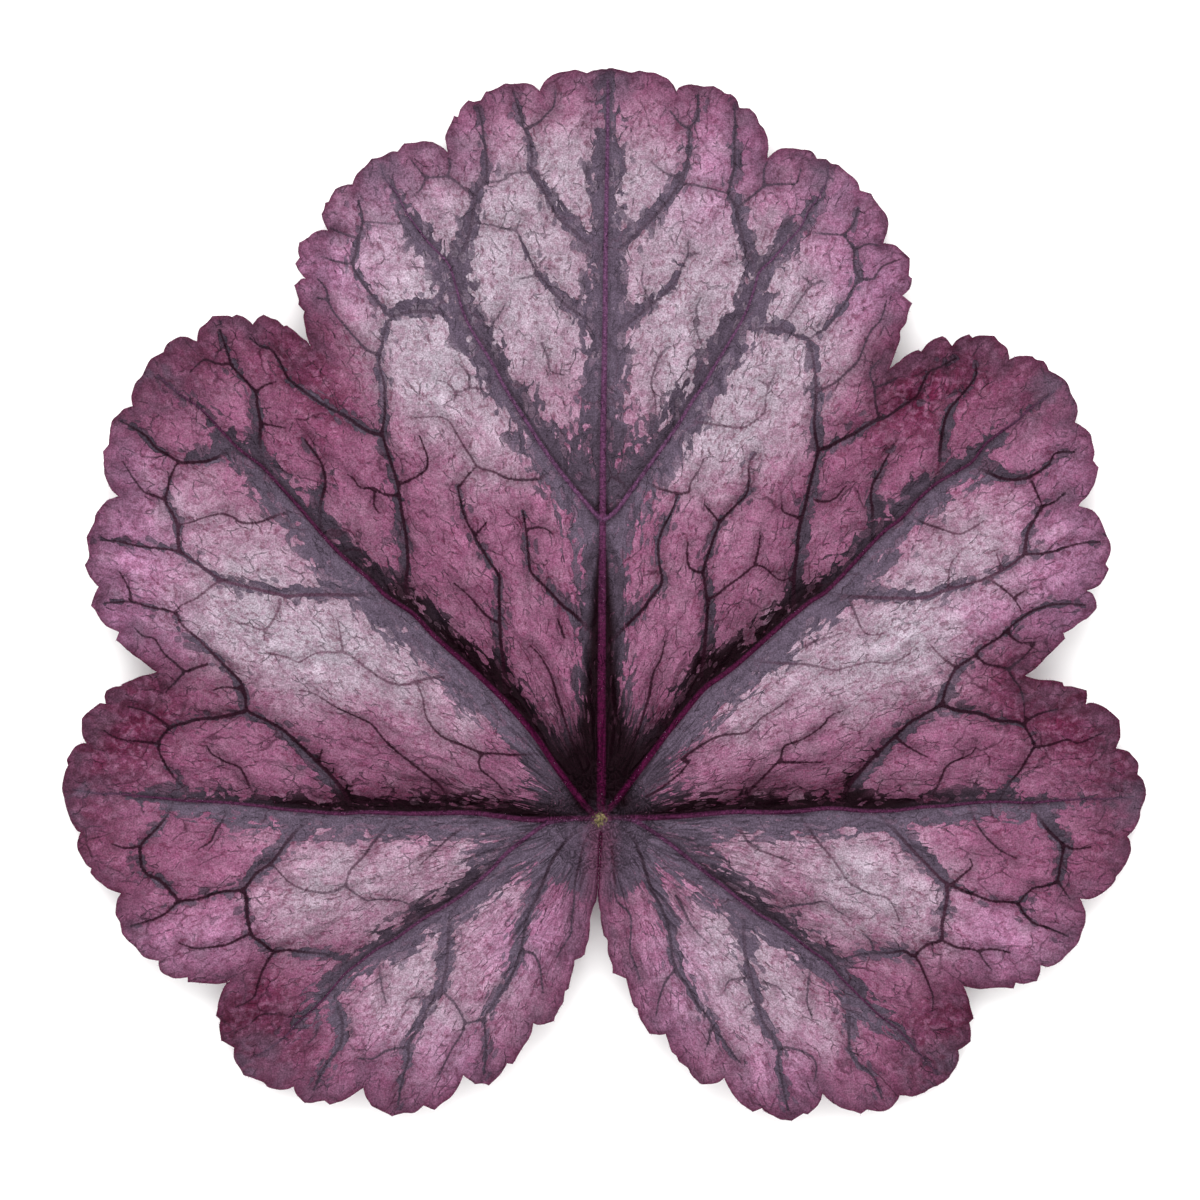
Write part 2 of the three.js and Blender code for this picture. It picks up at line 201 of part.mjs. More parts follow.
// The branches, each again from the vein that it leaves.
const BRANCH_VEINS = [
  // Top lobe.
  [-14.9, 55.2, -14.3, 56.0, -13.5, 57.4, -12.9, 59.4, -12.7, 61.2, -12.5, 62.4, -11.8, 63.5,
    -11.3, 64.8, -11.4, 66.4, -11.6, 68.1, -11.8, 69.7, -12.2, 71.2],
  [15.85, 54.7, 14.95, 56.3, 14.3, 57.95, 13.9, 59.7, 13.6, 61.2, 12.9, 62.6, 13.15, 64.05,
    13.5, 65.8, 13.4, 67.6, 13.5, 69.5, 13.4, 71],
  [0.5, 47.6, 1.7, 48.8, 3.5, 50.2, 5.1, 51.5, 6.5, 52.7, 7.6, 53.8, 8.1, 55.1, 8.75, 56.4, 8.8, 57.8],
  [0.6, 56, 1.85, 57, 3.6, 58.6, 5.3, 60.2, 6.5, 61.6, 7.8, 63.4, 8.6, 65.2, 8.85, 67, 9.0, 69,
    9.7, 70.2, 9.8, 72.4],
  [0.4, 48.6, -0.85, 49.8, -2.6, 50.9, -3.9, 51.95, -5.3, 53.6, -6.2, 54.6, -7.1, 56.25, -7.85, 57.9,
    -8.4, 58.95],
  [0.55, 57, -1.4, 57.7, -2.6, 58.95, -4.1, 60.2, -5.15, 62, -6.05, 63.6, -6.8, 64.9, -6.8, 66.5,
    -7.1, 68.1, -7.7, 69.4, -8, 70.6, -8.6, 72.6],
  [-14.0, 50.6, -15.4, 50.6, -17.4, 50.9, -19.3, 50.8, -20.9, 50.4, -22, 51.5, -23.3, 53.1,
    -24.4, 54.7, -24.7, 55.6, -24.4, 56.9, -24.1, 58.3, -23.8, 60.1, -24.2, 61.9],
  [14.1, 49.4, 15.1, 49.15, 16.9, 49.2, 18.4, 49, 19.6, 48.4, 21.05, 48.1],
  [-19.3, 21.2, -19.4, 23.9, -19.2, 25.7, -19.4, 28.4, -19.8, 30.7, -20.1, 32.85, -20.5, 34.6,
    -21, 36.1, -21.7, 38.6, -21.5, 40.4, -21.5, 42, -21.6, 43.8, -22.1, 45.7, -21.8, 47.4,
    -21.5, 49.15, -20.9, 50.4],
  [19.4, 20.8, 19.4, 24.2, 19.7, 26.6, 19.95, 29.25, 20.5, 31.4, 21, 33.7, 21.6, 36.1, 21.75, 37.15,
    21.4, 39.3, 21.5, 41.1, 21.6, 42.9, 21.45, 45.2, 21.2, 46.8, 21.05, 48.1, 22.5, 49.15,
    23.6, 50.4, 24.6, 51.85, 25.5, 53.5, 25.9, 54.2, 25.4, 55.6, 25.4, 57.05, 24.6, 58.5,
    25.4, 59.7, 25.8, 61.2],
  [-21.7, 38.6, -22.5, 38.6, -23.9, 39.3, -25.5, 40.4, -27.3, 41.3, -29.1, 42.5, -30.3, 43.4,
    -31.2, 44.2, -32, 45.8, -32.8, 47, -34, 47.4, -35, 48.2],
  [21.75, 37, 22.6, 37.2, 23.9, 37.9, 25.7, 38.8, 27.1, 39.7, 28.6, 40.3, 30.2, 41.4, 31.6, 42.3,
    32.2, 43.5, 32.9, 44.8, 34, 45.3, 35.6, 46.2],
  [-9.6, 12.5, -9.65, 15.4, -9.9, 17.5, -10, 19.9, -10.1, 22.6, -10.1, 24.4, -11.15, 26, -12.6, 28.5,
    -13.5, 30.3, -13.9, 31.8, -14.2, 33.2],
  [9.9, 12.8, 10.4, 16.5, 10.6, 19, 10.75, 21.2, 10.5, 23.5, 10.35, 25, 10.7, 26.2, 11.3, 28,
    12.05, 29.8, 13.5, 31.4, 14.6, 32.5, 14.9, 34.1, 14.9, 35.7, 15.5, 36.6],
  [0.2, 17.6, -2.3, 20.3, -3.7, 21.4, -5, 22.8, -6.05, 23.9, -6.95, 24.95, -7.2, 26.9, -7.4, 29.1,
    -7.7, 30.9],
  [0.2, 16.8, 1.8, 18.6, 3.3, 20.1, 4.2, 21, 5.4, 22.6, 6.2, 23.8, 5.95, 25.5, 5.8, 27.6, 6.3, 29.1,
    7.2, 30.9, 7.7, 32.3],
  // Left upper lobe.
  [-21.6, 22.6, -24.4, 22.5, -27.1, 22.5, -29.8, 22.5, -31.3, 22.4, -34, 23, -36, 23.5, -37.8, 24,
    -39.3, 25, -40.7, 26, -42, 26.8, -43.5, 27.1, -45, 27.25, -46.7, 27.5, -47.8, 27.8, -49.8, 28.0],
  [-42, 26.8, -42.1, 27.8, -42.2, 29.5, -42.8, 30.8, -43.4, 31.9, -43.2, 33, -43, 34, -42.5, 35.3,
    -42, 35.8],
  [-36.3, 37, -37.8, 36.5, -39.3, 35.9, -41, 35.75, -42, 35.8, -43.2, 36.5, -44.5, 37.3, -45.2, 38.2,
    -46, 38.8, -47.9, 39.9],
  [-33.4, 35, -34, 37, -34, 38.8, -34, 40, -34.3, 41.5, -34.4, 42.7, -35.5, 44, -36.7, 45.3,
    -37.1, 46.3, -37.4, 47.2, -38, 49],
  [-28, 28.9, -28, 31.4, -27.5, 33.4, -27.6, 34.8, -28.1, 36.1, -28.9, 37.2, -29.5, 38],
  [-24.6, 0.9, -26.2, 3.6, -28, 5.5, -29.8, 7.3, -31.6, 8.95, -33.4, 10, -35.2, 10.95, -35.4, 12.4,
    -35.9, 13.8, -37, 15, -38.2, 16.2, -39.2, 17.2, -40.3, 18.3, -41.7, 19.5, -42.3, 20.6,
    -43.3, 21, -45, 21.3, -46.7, 21.8, -49.4, 21.7],
  // Right upper lobe.
  [22.7, 22.7, 23.85, 22.5, 25.6, 22.3, 28.5, 22.2, 31, 22.15, 32.7, 22.3, 34.3, 22.9, 36.1, 23.4,
    37.9, 23.95, 39.7, 24.7, 41.15, 25.6, 42.4, 26.5, 43.7, 26.6, 45.1, 26.8, 46.9, 27.4,
    48.3, 27.7, 49.9, 27.8],
  [42.4, 26.5, 42.5, 27.7, 42.8, 29, 43.5, 30.2, 44.2, 31.3, 45.3, 31.75, 46.5, 32.7],
  [37, 35.8, 38.1, 35.1, 39.2, 34.6, 40.4, 34.1, 42.2, 34.1, 43.7, 34.7, 44.9, 35.6, 45.6, 36.7,
    47.4, 36.8],
  [33.5, 33.6, 33.97, 35.4, 34.06, 37.2, 34.3, 39, 34.8, 40.8, 35.8, 42.1, 36.85, 43.3, 37.6, 44.4,
    37.6, 45.6],
  [27.2, 27.7, 27.3, 30.7, 27.1, 32.3, 27.3, 33.6, 28, 34.8, 28.4, 35.7, 28.9, 36.6],
  [24, 1.2, 24.6, 2.9, 25.6, 4.3, 27.4, 6.3, 29.2, 8.1, 30.9, 9.7, 32.4, 10.6, 34, 11.6, 34.5, 13.1,
    35.1, 14.5, 35.8, 15.4, 37.2, 16.3, 38.1, 17.2, 39.6, 18.1, 40.6, 19, 41.9, 20.1, 43.15, 20.9,
    44.95, 21.5, 46.4, 21.6, 48.4, 21.5],
  // Left side lobe.
  [-28, 0.6, -30, -0.7, -31.3, -2.2, -32.8, -4.2, -34.3, -5.3, -35.7, -6.9, -37.5, -7.1, -39, -7.5,
    -40.3, -7.9, -42, -8.1, -42.7, -8.7, -43.7, -9.5, -45, -10, -46.9, -10.6],
  [-35.2, 10.95, -37, 10.5, -38.5, 10.2, -40, 10.1, -41.5, 9.7, -42.8, 9.3, -43.8, 8.4, -44.2, 7.2,
    -43.5, 5.5, -42.6, 4.2, -41.5, 3.0, -40.6, 2.0],
  [-35.6, -7, -35.3, -8, -35.25, -9.3, -35, -10.7, -34.7, -11.5, -33.7, -12.3, -32.6, -13.1,
    -31.2, -13, -29.5, -13.2, -27.8, -13.4, -26.3, -13.75, -25.3, -14.2, -24, -14.3],
  [-42, -8.1, -43, -7, -44, -6, -45.2, -5.5, -45.8, -4.7, -46, -3.5, -45.9, -2.5, -45.2, -1.7,
    -44.3, -0.8, -43.8, -0.2, -43, 1, -42.7, 2.0],
  // Right side lobe.
  [27.2, 0.9, 28.5, -0.1, 29.9, -1.5, 31.5, -3.3, 33, -4.8, 34.3, -6.1, 35.7, -6.8, 37.5, -7.5,
    39.3, -8.1, 41.6, -8.3, 42.3, -9.25, 43.4, -10.3, 44.6, -10.7, 46.8, -11.6],
  [34, 11.6, 34.7, 11.3, 36, 10.9, 37.8, 10.7, 39.6, 10, 41.9, 9.75, 42.8, 8.8, 43.4, 7.4, 42.8, 6.25,
    42.1, 5, 41, 3.7, 40, 2.0],
  [34.6, -6.3, 34.7, -7.6, 34.4, -9.3, 34.15, -10.5, 34.05, -11.95, 32.6, -12.5, 31.4, -13.5,
    30.3, -13.1, 29, -13.3, 27.6, -13.3, 26, -13.5, 24.5, -13.9, 22.8, -14.2],
  [43.2, 1.7, 43.6, 0.8, 44.3, -0.3, 45, -1.2, 46.1, -2.25, 46.35, -3, 46, -4.8, 45.7, -6.1,
    44.6, -6.6, 43.4, -6.8, 42.5, -7.5, 41.9, -8.3],
  // Left lower lobe.
  [-13.6, -7.3, -14.7, -9, -15.1, -10.6, -15.2, -12.6, -15.4, -14.8, -15.85, -16.8, -16.8, -18.15,
    -17.5, -19.5, -18.3, -21.1, -19.1, -22.3, -19.15, -24, -19.7, -25.7, -20.2, -28.4],
  [-0.6, -0.3, -2.4, -1.2, -3.8, -2.6, -4.9, -4.3, -5.7, -6.3, -6.6, -8.3, -7.4, -10.15, -7.7, -12,
    -8.15, -13.85, -8.9, -15.7, -10, -17.4, -10.8, -18.6, -11.5, -19.6, -11.5, -20.6, -11.4, -22,
    -11.4, -23.4, -11.6, -25.2],
  [-26.6, -16.8, -26.4, -18.2, -25.8, -20.3, -25.9, -22.3, -26.8, -23.8, -27.6, -24.8, -28.6, -27],
  // Right lower lobe.
  [13.5, -7.8, 14.3, -9.4, 14.4, -11.5, 14.6, -13.7, 15.1, -15.7, 15.6, -17.6, 16.15, -19.8,
    17.05, -21.4, 17.8, -22.85, 17.8, -24.3, 18.1, -25.7, 18.5, -27.7, 18.8, -29],
  [0.9, -0.3, 2.2, -0.9, 3.2, -1.6, 3.9, -3.1, 4.5, -4.9, 5.0, -6.6, 5.9, -8.3, 6.6, -9.9, 7, -11.7,
    7.3, -13.9, 7.9, -15.5, 8.8, -16.6, 9.5, -18, 10.6, -19.4, 11.5, -20.7, 12.4, -22.1,
    13.3, -23.4, 13.9, -24.1],
  [23.8, -15.4, 24.5, -16.6, 24.8, -17.8, 24.95, -19.8, 24.9, -21.95, 25.1, -23.4, 26, -24.5,
    27.3, -25.6, 28.2, -27.8],
];

// The finer net between them.
const NET_VEINS = [
  // Top lobe.
  [-12.6, 62.5, -13.4, 63.0, -14.4, 63.8, -15.2, 64.3, -16.6, 64.3, -17.5, 64.3, -18.2, 65.2, -18.9, 66],
  [-15.2, 64.4, -15.0, 65.6, -15.2, 66.2],
  [-17.4, 64.4, -18.0, 63.0, -19.2, 62.2],
  [-6.8, 64.8, -8, 64.7, -9.5, 64.5],
  [-6.8, 64.9, -6, 64.4, -5.1, 64.9],
  [-7.4, 69.1, -6.2, 69.7, -5.3, 70.6, -4.6, 71.4, -4.4, 73],
  [-11.6, 63.7, -9.8, 63.9, -8.6, 64.6],
  [-8.4, 58.95, -9.8, 59.2, -11, 59.5, -12.8, 59.8],
  [-8.4, 58.95, -8, 59.9],
  [-6.1, 54.5, -8.0, 54.1],
  [-14.6, 52.9, -13.3, 52.8, -12.3, 53.5],
  [-13.3, 48.9, -11.6, 49.0, -10.3, 50.2, -9.4, 51.7],
  [-24.3, 58.2, -25.8, 58.7, -27, 59.2],
  [-24.7, 55.6, -26.15, 55.8, -27.8, 56.3],
  [-19.2, 59.8, -21, 59.7, -23.8, 59.9],
  [-22.2, 46.6, -23.3, 47, -24.4, 48.1, -25.4, 49.3, -26.5, 50.6, -27.2, 51.8, -28.3, 52.2],
  [-27.1, 51.9, -27.4, 53.1, -28.2, 54.1],
  [-10.4, 44.4, -11.4, 43.2, -12.95, 43.2, -14.3, 42.8, -15.1, 43.6, -16.4, 44],
  [-14.3, 42.8, -14.6, 41.8],
  [-13.0, 43.3, -13.2, 44.7, -14.1, 45.6],
  [-5, 34.9, -5.95, 34.2, -7.7, 34, -9.4, 34.2, -10.6, 34.8, -12.2, 35.3, -12.95, 36.4, -14, 38.05,
    -15.1, 39.85, -16.2, 40.3, -18.5, 40.2],
  [-14.2, 33.2, -13.3, 34.3, -12.4, 35.3],
  [-19.95, 33.6, -18.5, 34.2, -17.4, 35, -17.2, 36.1, -17.6, 37.3, -18, 38.4],
  [-20.2, 32.4, -21.7, 32.6, -22.6, 33.2, -23.9, 33.2, -24.6, 34.1, -25.2, 34.5],
  [-22.55, 32.9, -22.55, 31.4, -22.1, 30.7],
  [-10.1, 19.7, -10.9, 20.1, -11.9, 21, -13.1, 22.4, -14.6, 23.7],
  [-7.4, 29.1, -5.8, 29.25, -4.7, 28.6],
  [-4.4, 12.7, -5, 14.7, -6.05, 16.5, -6.95, 17.4],
  [-4.4, 12.7, -3.6, 10.2, -2.4, 6.6, -1.3, 3.6],
  [-3.6, 18.3, -4.25, 20.1],
  [-5.8, 47.7, -5.25, 46.3, -4.9, 44.85, -3.6, 44.5],
  [-12.5, 28.4, -11.3, 29.8],
  [5.1, 51.6, 4.2, 53.8, 4.4, 55.4],
  [8.75, 56.4, 9.9, 56.7],
  [8.2, 64.4, 7, 64.4, 6, 65.05, 5.1, 65.8],
  [8.9, 69.1, 8.1, 69.5, 7.05, 70.8],
  [8, 63.6, 9.2, 63.45, 10.6, 63.15, 12.8, 62.6],
  [20.2, 59.1, 21.95, 58.7, 23.4, 58.6, 24.6, 58.5],
  [13.7, 61.2, 15, 62.2, 16.4, 63.3, 18, 63.6, 19.6, 63.7, 20.1, 65.2],
  [16.4, 63.4, 16.4, 65.0, 16.8, 65.9],
  [25.9, 54.1, 27.3, 54.1, 28.2, 55.3, 29.9, 56],
  [25.4, 56.9, 26.7, 57.6, 28, 57.4],
  [22.2, 53.9, 21.2, 53.6, 20.2, 54.4],
  [21.2, 53.6, 20.1, 52.2, 19.1, 50.6, 18.1, 49.5],
  [9.9, 49.6, 9.6, 51, 10.1, 52.2],
  [9.4, 49.8, 10, 48, 11, 46.6],
  [6.9, 47.3, 5.9, 46.3, 5.4, 44.8, 5.1, 43.6, 5.5, 42.2, 5.6, 40.6],
  [21.7, 42.9, 23, 43.4, 24.4, 44.5, 25.7, 45.8, 26.3, 47.2, 27, 48.8, 28.05, 50.05, 28.6, 51.85],
  [27.9, 40.1, 27.5, 41.8, 27.4, 43.25, 26.95, 44.7, 27.85, 45.95],
  [27.4, 43.25, 28.6, 43.6, 29.6, 44.15],
  [9.3, 39.9, 10.5, 39.7, 11.9, 39.5, 13.85, 39.2, 14.9, 39.5, 16.4, 40.7, 16.5, 41.8, 16.9, 43.4,
    17.6, 44.7],
  [16.9, 43.4, 15.8, 44],
  [4.2, 33.9, 5.6, 33.3, 7.2, 32.8, 8.8, 32.7, 9.0, 33.6, 9.9, 35, 10.35, 36.1],
  [20.1, 30.2, 19.05, 30.5, 18.25, 30.9, 18.15, 31.8],
  [10.7, 22.1, 11.5, 22.4, 12.9, 23.5, 14.15, 24.4, 15.4, 25.4, 16.5, 25.2, 17.6, 24.2, 18.5, 24.0,
    19.4, 24.5],
  [15.4, 25.4, 15.8, 26.9, 16, 28.4],
  [11.9, 29.8, 11, 30.9, 10.35, 31.6],
  [10.2, 24.7, 9, 25.2, 8.7, 26.6, 8.8, 27.8],
  [5, 12.8, 5.3, 14.6, 6.1, 16.2, 6.5, 17.9],
  [5, 12.8, 4.0, 9.4, 2.6, 5.8],
  [21.5, 32, 22.3, 31.8, 23.4, 32.1, 24.6, 33.4],
  // Left upper lobe.
  [-31, 30.7, -32.2, 30.5, -34, 29.8, -35.7, 29.7, -36.7, 30.3, -37.8, 30.6, -39.3, 30.3, -40.7, 29.8,
    -42.1, 29.5],
  [-43.4, 32, -44.5, 32.4, -45.5, 32.8, -46.3, 33.8, -47, 34.8, -47.6, 35.8],
  [-37.4, 24, -38.3, 23.7, -39, 23.2, -40.2, 22.2, -41.7, 21.5, -42.4, 20.8],
  [-46.8, 21.9, -46.9, 22.8, -47.3, 23.8, -47.9, 24.8],
  [-34.4, 42.7, -33.6, 43.4, -32.4, 43.8],
  [-34, 39.7, -33, 39.5, -31.5, 39.2],
  [-36.8, 45.6, -38.2, 45.6, -39.6, 46, -41, 44.8],
  [-15.6, 14.3, -17, 14.2, -18.6, 13.8, -19.8, 13.5, -21.4, 13.9, -23.2, 15.1, -25, 16.5, -26.8, 16.8,
    -28.6, 16.6, -30, 15.8, -31.2, 16.3, -32.6, 16.6],
  [-31.9, 22, -32.3, 20.6, -33.4, 19.1, -35.2, 19.5, -36.8, 20.0],
  [-33.4, 19.1, -33.5, 18],
  [-15, 2.0, -16, 3.4, -17.2, 4.4, -18.7, 5.6, -20.2, 6.8, -21.6, 8.1, -22.8, 9.6, -24.4, 10.4,
    -26.3, 11.3, -28.6, 12.7, -30, 13],
  [-28.1, 6, -27.8, 7],
  [-6.2, 6.6, -8.6, 6.5, -11.6, 6.6, -12, 5.2, -10.5, 3.9, -9.2, 2.4],
  [-11.6, 6.6, -13.5, 7.4, -15.8, 8.4, -17.3, 10.2, -17.7, 12.2, -18.2, 13.4],
  [-35.4, 12.2, -36, 13.1, -37.6, 13.3, -38.6, 13],
  [-39.2, 15.6, -40.4, 15.2, -41.4, 14.9, -42.6, 15.9, -43.6, 16.8, -44.4, 18.1, -45.6, 18.4, -46.4, 19.2],
  [-41.4, 14.9, -42.4, 13.8, -43.4, 12.8],
  [-24.1, 9.6, -25.6, 16.3, -26, 18.9, -26.2, 20],
  // Right upper lobe.
  [43.2, 33.8, 43.85, 32.2, 44.2, 31.3],
  [34.8, 23.1, 34.8, 24.1, 35.05, 25.6, 35.8, 26.6],
  [39.8, 24.8, 39.9, 25.6, 39.6, 26.5],
  [31, 31, 32, 29.9, 34, 29.15, 35.8, 28.6, 37.2, 29.15, 38.3, 29.9],
  [38.6, 24.2, 40, 23.3, 41.2, 22.2, 42, 21],
  [41.2, 22.2, 42.3, 22.9],
  [24.9, 22.3, 25.6, 20.4, 26, 19.4, 26.35, 18.85, 27.1, 18.5, 28.5, 18.7],
  [15, 16.2, 16, 15.9, 17.6, 15.7, 19.9, 15.6, 22.05, 15.3, 23.5, 15, 25.1, 15.4, 26.9, 15.8,
    28.7, 15.7, 30.1, 16.15, 31.6, 17.2],
  [20.6, 17.4, 21.8, 18, 23, 18.3, 24.2, 18.7],
  [8.2, 6.0, 9.1, 6.8, 11.5, 8.25, 13.1, 8.6, 14.7, 8.8, 16.1, 10.2, 17.6, 11.1, 18.8, 12],
  [14, 1.1, 15.0, 2.9, 15.8, 3.8, 17.2, 5.2, 18.1, 6.3, 18.4, 7.4, 20.25, 8.1, 22.05, 9.3,
    22.95, 10.4, 24.2, 10.95],
  [18.2, 5.8, 20, 5.75, 22.2, 5.8],
  [4.6, 2.3, 6.1, 3.15, 7.9, 4.6, 9.1, 6],
  [37.6, 16.4, 38.5, 15.6, 39.6, 15.4, 40.6, 15.1, 41.2, 14.15, 41.9, 13.25, 42.3, 11.8, 42.4, 10.4],
  [40.6, 15.1, 41.9, 16, 43.2, 17.4],
  [40.6, 18.8, 41.8, 17.8, 43.4, 17.8],
  [35.3, 15.4, 34, 16.4, 33, 17.5],
  [32.8, 1.6, 33.2, 2.3, 34, 3.9, 34.7, 5.4, 36, 6.1, 37.05, 6.6, 37.6, 7.3],
  [29.6, 8.2, 31, 7.2, 32.7, 6.3],
  [27.8, 6.4, 27.2, 7.2],
  // Side lobes.
  [-42.9, 9.2, -44.2, 10.2, -45.4, 10.9, -47.2, 11.4],
  [-44.1, 7.6, -45.5, 7.8, -47.6, 8, -48.8, 8.4, -49.6, 9],
  [-34.5, 2.2, -35.2, 3.6, -36, 5.2, -37.4, 5.8, -38.8, 6.6, -39.3, 7.4],
  [-37.8, -0.1, -38.4, -1.0, -39, -2.2, -40.2, -2.9],
  [-37.4, 0.9, -37.8, -0.1],
  [-46, -2.6, -46.9, -2.8, -47.8, -2.75, -48.8, -2.4],
  [-34.9, -11.3, -36.2, -11.9, -37.3, -12.4, -38.8, -12.6, -40.3, -12.75, -42, -12.2],
  [-32.6, -13.2, -33.3, -14.2, -34, -15.8, -34.5, -17.5, -35.2, -18.1, -36.4, -18.7],
  [-29.8, -19.9, -31.7, -19.5, -33, -19.4, -34, -19.5, -34.9, -20.3],
  [-20.8, 0.7, -21.3, -0.65, -22.4, -1.9, -23.7, -3.7, -24.9, -4.95, -25.3, -6.5, -24.3, -7.4,
    -23.3, -8, -21.9, -7.9, -19.7, -8.2, -17.6, -9.4],
  [-25.3, -6.5, -27, -7.2, -29.2, -7.0, -31, -6.2, -32.6, -4.6],
  [-12.2, -0.1, -14.6, -1.4, -16.2, -2.8, -18, -4.5],
  [42.6, 9.9, 43.9, 10.65, 45.7, 11.1],
  [43.5, 7.3, 44.95, 7.5, 46.6, 8.05, 47.8, 7.7, 49.1, 8.2, 50.3, 8.8],
  [46.1, -2.25, 47.3, -2.9, 49.1, -2.7],
  [45.8, -6.1, 46.3, -6.9, 46.9, -7.8],
  [37, 1.5, 37.3, 0.4, 38.2, -1.2, 39.3, -2.4, 40.2, -3.15, 41.6, -3.8],
  [34.05, -11.95, 35.7, -12.7, 37.6, -13, 38.4, -14.1, 39.1, -14.9],
  [37.6, -13, 39.3, -12.85, 40.9, -13.2],
  [31.5, -13.6, 32.1, -14.6, 32.8, -16.3, 33.3, -17.7, 33.2, -19.1],
  [27.4, -13.2, 27.05, -12, 26.3, -11.4],
  [35.4, -6.2, 36.6, -5.2, 37.2, -4.6, 37, -3.9],
  [20, 0.6, 21.3, -1.5, 23.1, -3.7, 24, -4.9, 25, -6.3, 26.9, -7.3, 28.85, -7.9, 29.9, -10],
  [17.2, -9.9, 17.3, -9.2, 19.2, -8.6, 20.8, -8.4, 22.6, -8.15, 23.7, -9.05, 24.4, -9.4],
  [14, -1, 15.2, -2.6, 17, -3.4, 19, -4.0],
  // Lower lobes.
  [-16.2, -17.6, -18.2, -17.7, -19.1, -17.85, -19.5, -18.3],
  [-15.9, -17.2, -15.2, -17.6, -14.3, -18.6, -13.6, -20, -13.7, -21.1, -14.6, -22.5, -15.4, -24,
    -16, -25.3],
  [-19.1, -22.7, -20.5, -22.8, -21.7, -23.2, -22.6, -23.8, -24.2, -23.8],
  [-11.5, -19.8, -12.2, -20, -13.5, -20.3],
  [-7.9, -13.2, -6.7, -13.3, -6, -14.6, -5.85, -15.9, -5.7, -17.2],
  [-0.4, -0.6, -1.6, -2.4, -2.15, -4.8, -2.5, -6.3, -2.6, -8.3, -2.85, -10.15, -2.9, -11.3, -3.7, -12.6,
    -4.3, -13.6],
  [-22.1, -13.4, -22, -15.7, -21.7, -17.1, -21.4, -18.2],
  [-28.3, -20.3, -28.4, -21.5, -29.2, -22.3],
  [16.2, -16.2, 17.8, -16.7, 18.4, -17.4],
  [15, -15.7, 12.9, -16, 12.5, -17],
  [16, -18.1, 14.8, -18.4, 14.3, -18.9],
  [17.8, -22.8, 18.85, -22.7, 20.5, -23.2, 21.4, -23.9, 21.6, -24.8, 21.4, -26],
  [21.6, -13.4, 21.1, -14.8, 20.8, -16.6, 20.7, -18.2, 21.1, -19.5],
  [11.1, -20.6, 10.8, -22.1, 10.5, -22.9],
  [7.6, -14.9, 6.8, -15.7, 6.3, -16.6, 5.9, -17.8, 5.6, -19.4],
  [0.6, -0.7, 1.1, -2.6, 1.4, -5.1, 1.5, -6.9, 1.7, -8.1, 2.7, -9, 3.1, -9.9, 3.05, -11.7, 3, -13,
    3.4, -14.2, 3.95, -15.85],
  [7.6, -7.6, 8.3, -8.85, 9, -10.3, 9.9, -11.4, 10.8, -12.3],
];

function pairs(row) {
  const points = [];
  for (let i = 0; i < row.length; i += 2) {
    points.push(new THREE.Vector2(row[i], row[i + 1]));
  }
  return points;
}

// The rim as one closed row of points, rounded by a curve inside each scallop and sharp at its notches.
function rimPoints() {
  const rim = [];
  RIM.forEach((row, index) => {
    const next = RIM[(index + 1) % RIM.length];
    const marks = pairs([...row, next[0], next[1]]);
    const curve = new THREE.SplineCurve(marks);
    for (let i = 0; i + 1 < marks.length; i += 1) {
      const parts = Math.max(1, Math.round(marks[i].distanceTo(marks[i + 1]) / RIM_STEP));
      for (let k = 0; k < parts; k += 1) {
        rim.push(curve.getPoint((i + k / parts) / (marks.length - 1)));
      }
    }
  });
  return rim;
}

// A vein as a curve, with short straight pieces along it.
function traced(row) {
  const curve = new THREE.SplineCurve(pairs(row));
  const length = curve.getLength();
  return { curve, length, points: curve.getSpacedPoints(Math.max(2, Math.ceil(length / CURVE_STEP))) };
}

// The distance from a place to the nearest of some veins, and how far along it that is, from 0 to 1.
function nearest(veins, x, y) {
  let best = Infinity;
  let along = 0;
  veins.forEach(({ points }) => {
    const last = points.length - 1;
    for (let i = 0; i < last; i += 1) {
      const a = points[i];
      const dx = points[i + 1].x - a.x;
      const dy = points[i + 1].y - a.y;
      const t = THREE.MathUtils.clamp(((x - a.x) * dx + (y - a.y) * dy) / (dx * dx + dy * dy), 0, 1);
      const distance = Math.hypot(x - a.x - t * dx, y - a.y - t * dy);
      if (distance < best) {
        best = distance;
        along = (i + t) / last;
      }
    }
  });
  return { distance: best, along };
}

function rimDistance(rim, x, y) {
  let best = Infinity;
  rim.forEach((a, i) => {
    const b = rim[(i + 1) % rim.length];
    const dx = b.x - a.x;
    const dy = b.y - a.y;
    const t = THREE.MathUtils.clamp(((x - a.x) * dx + (y - a.y) * dy) / (dx * dx + dy * dy), 0, 1);
    best = Math.min(best, Math.hypot(x - a.x - t * dx, y - a.y - t * dy));
  });
  return best;
}

function isInside(rim, x, y) {
  let inside = false;
  rim.forEach((a, i) => {
    const b = rim[(i + 1) % rim.length];
    if (a.y > y !== b.y > y && x < ((b.x - a.x) * (y - a.y)) / (b.y - a.y) + a.x) {
      inside = !inside;
    }
  });
  return inside;
}

function randomFrom(seed) {
  let state = seed;
  return () => {
    state = (Math.imul(state, 1664525) + 1013904223) >>> 0;
    return state / 4294967296;
  };
}

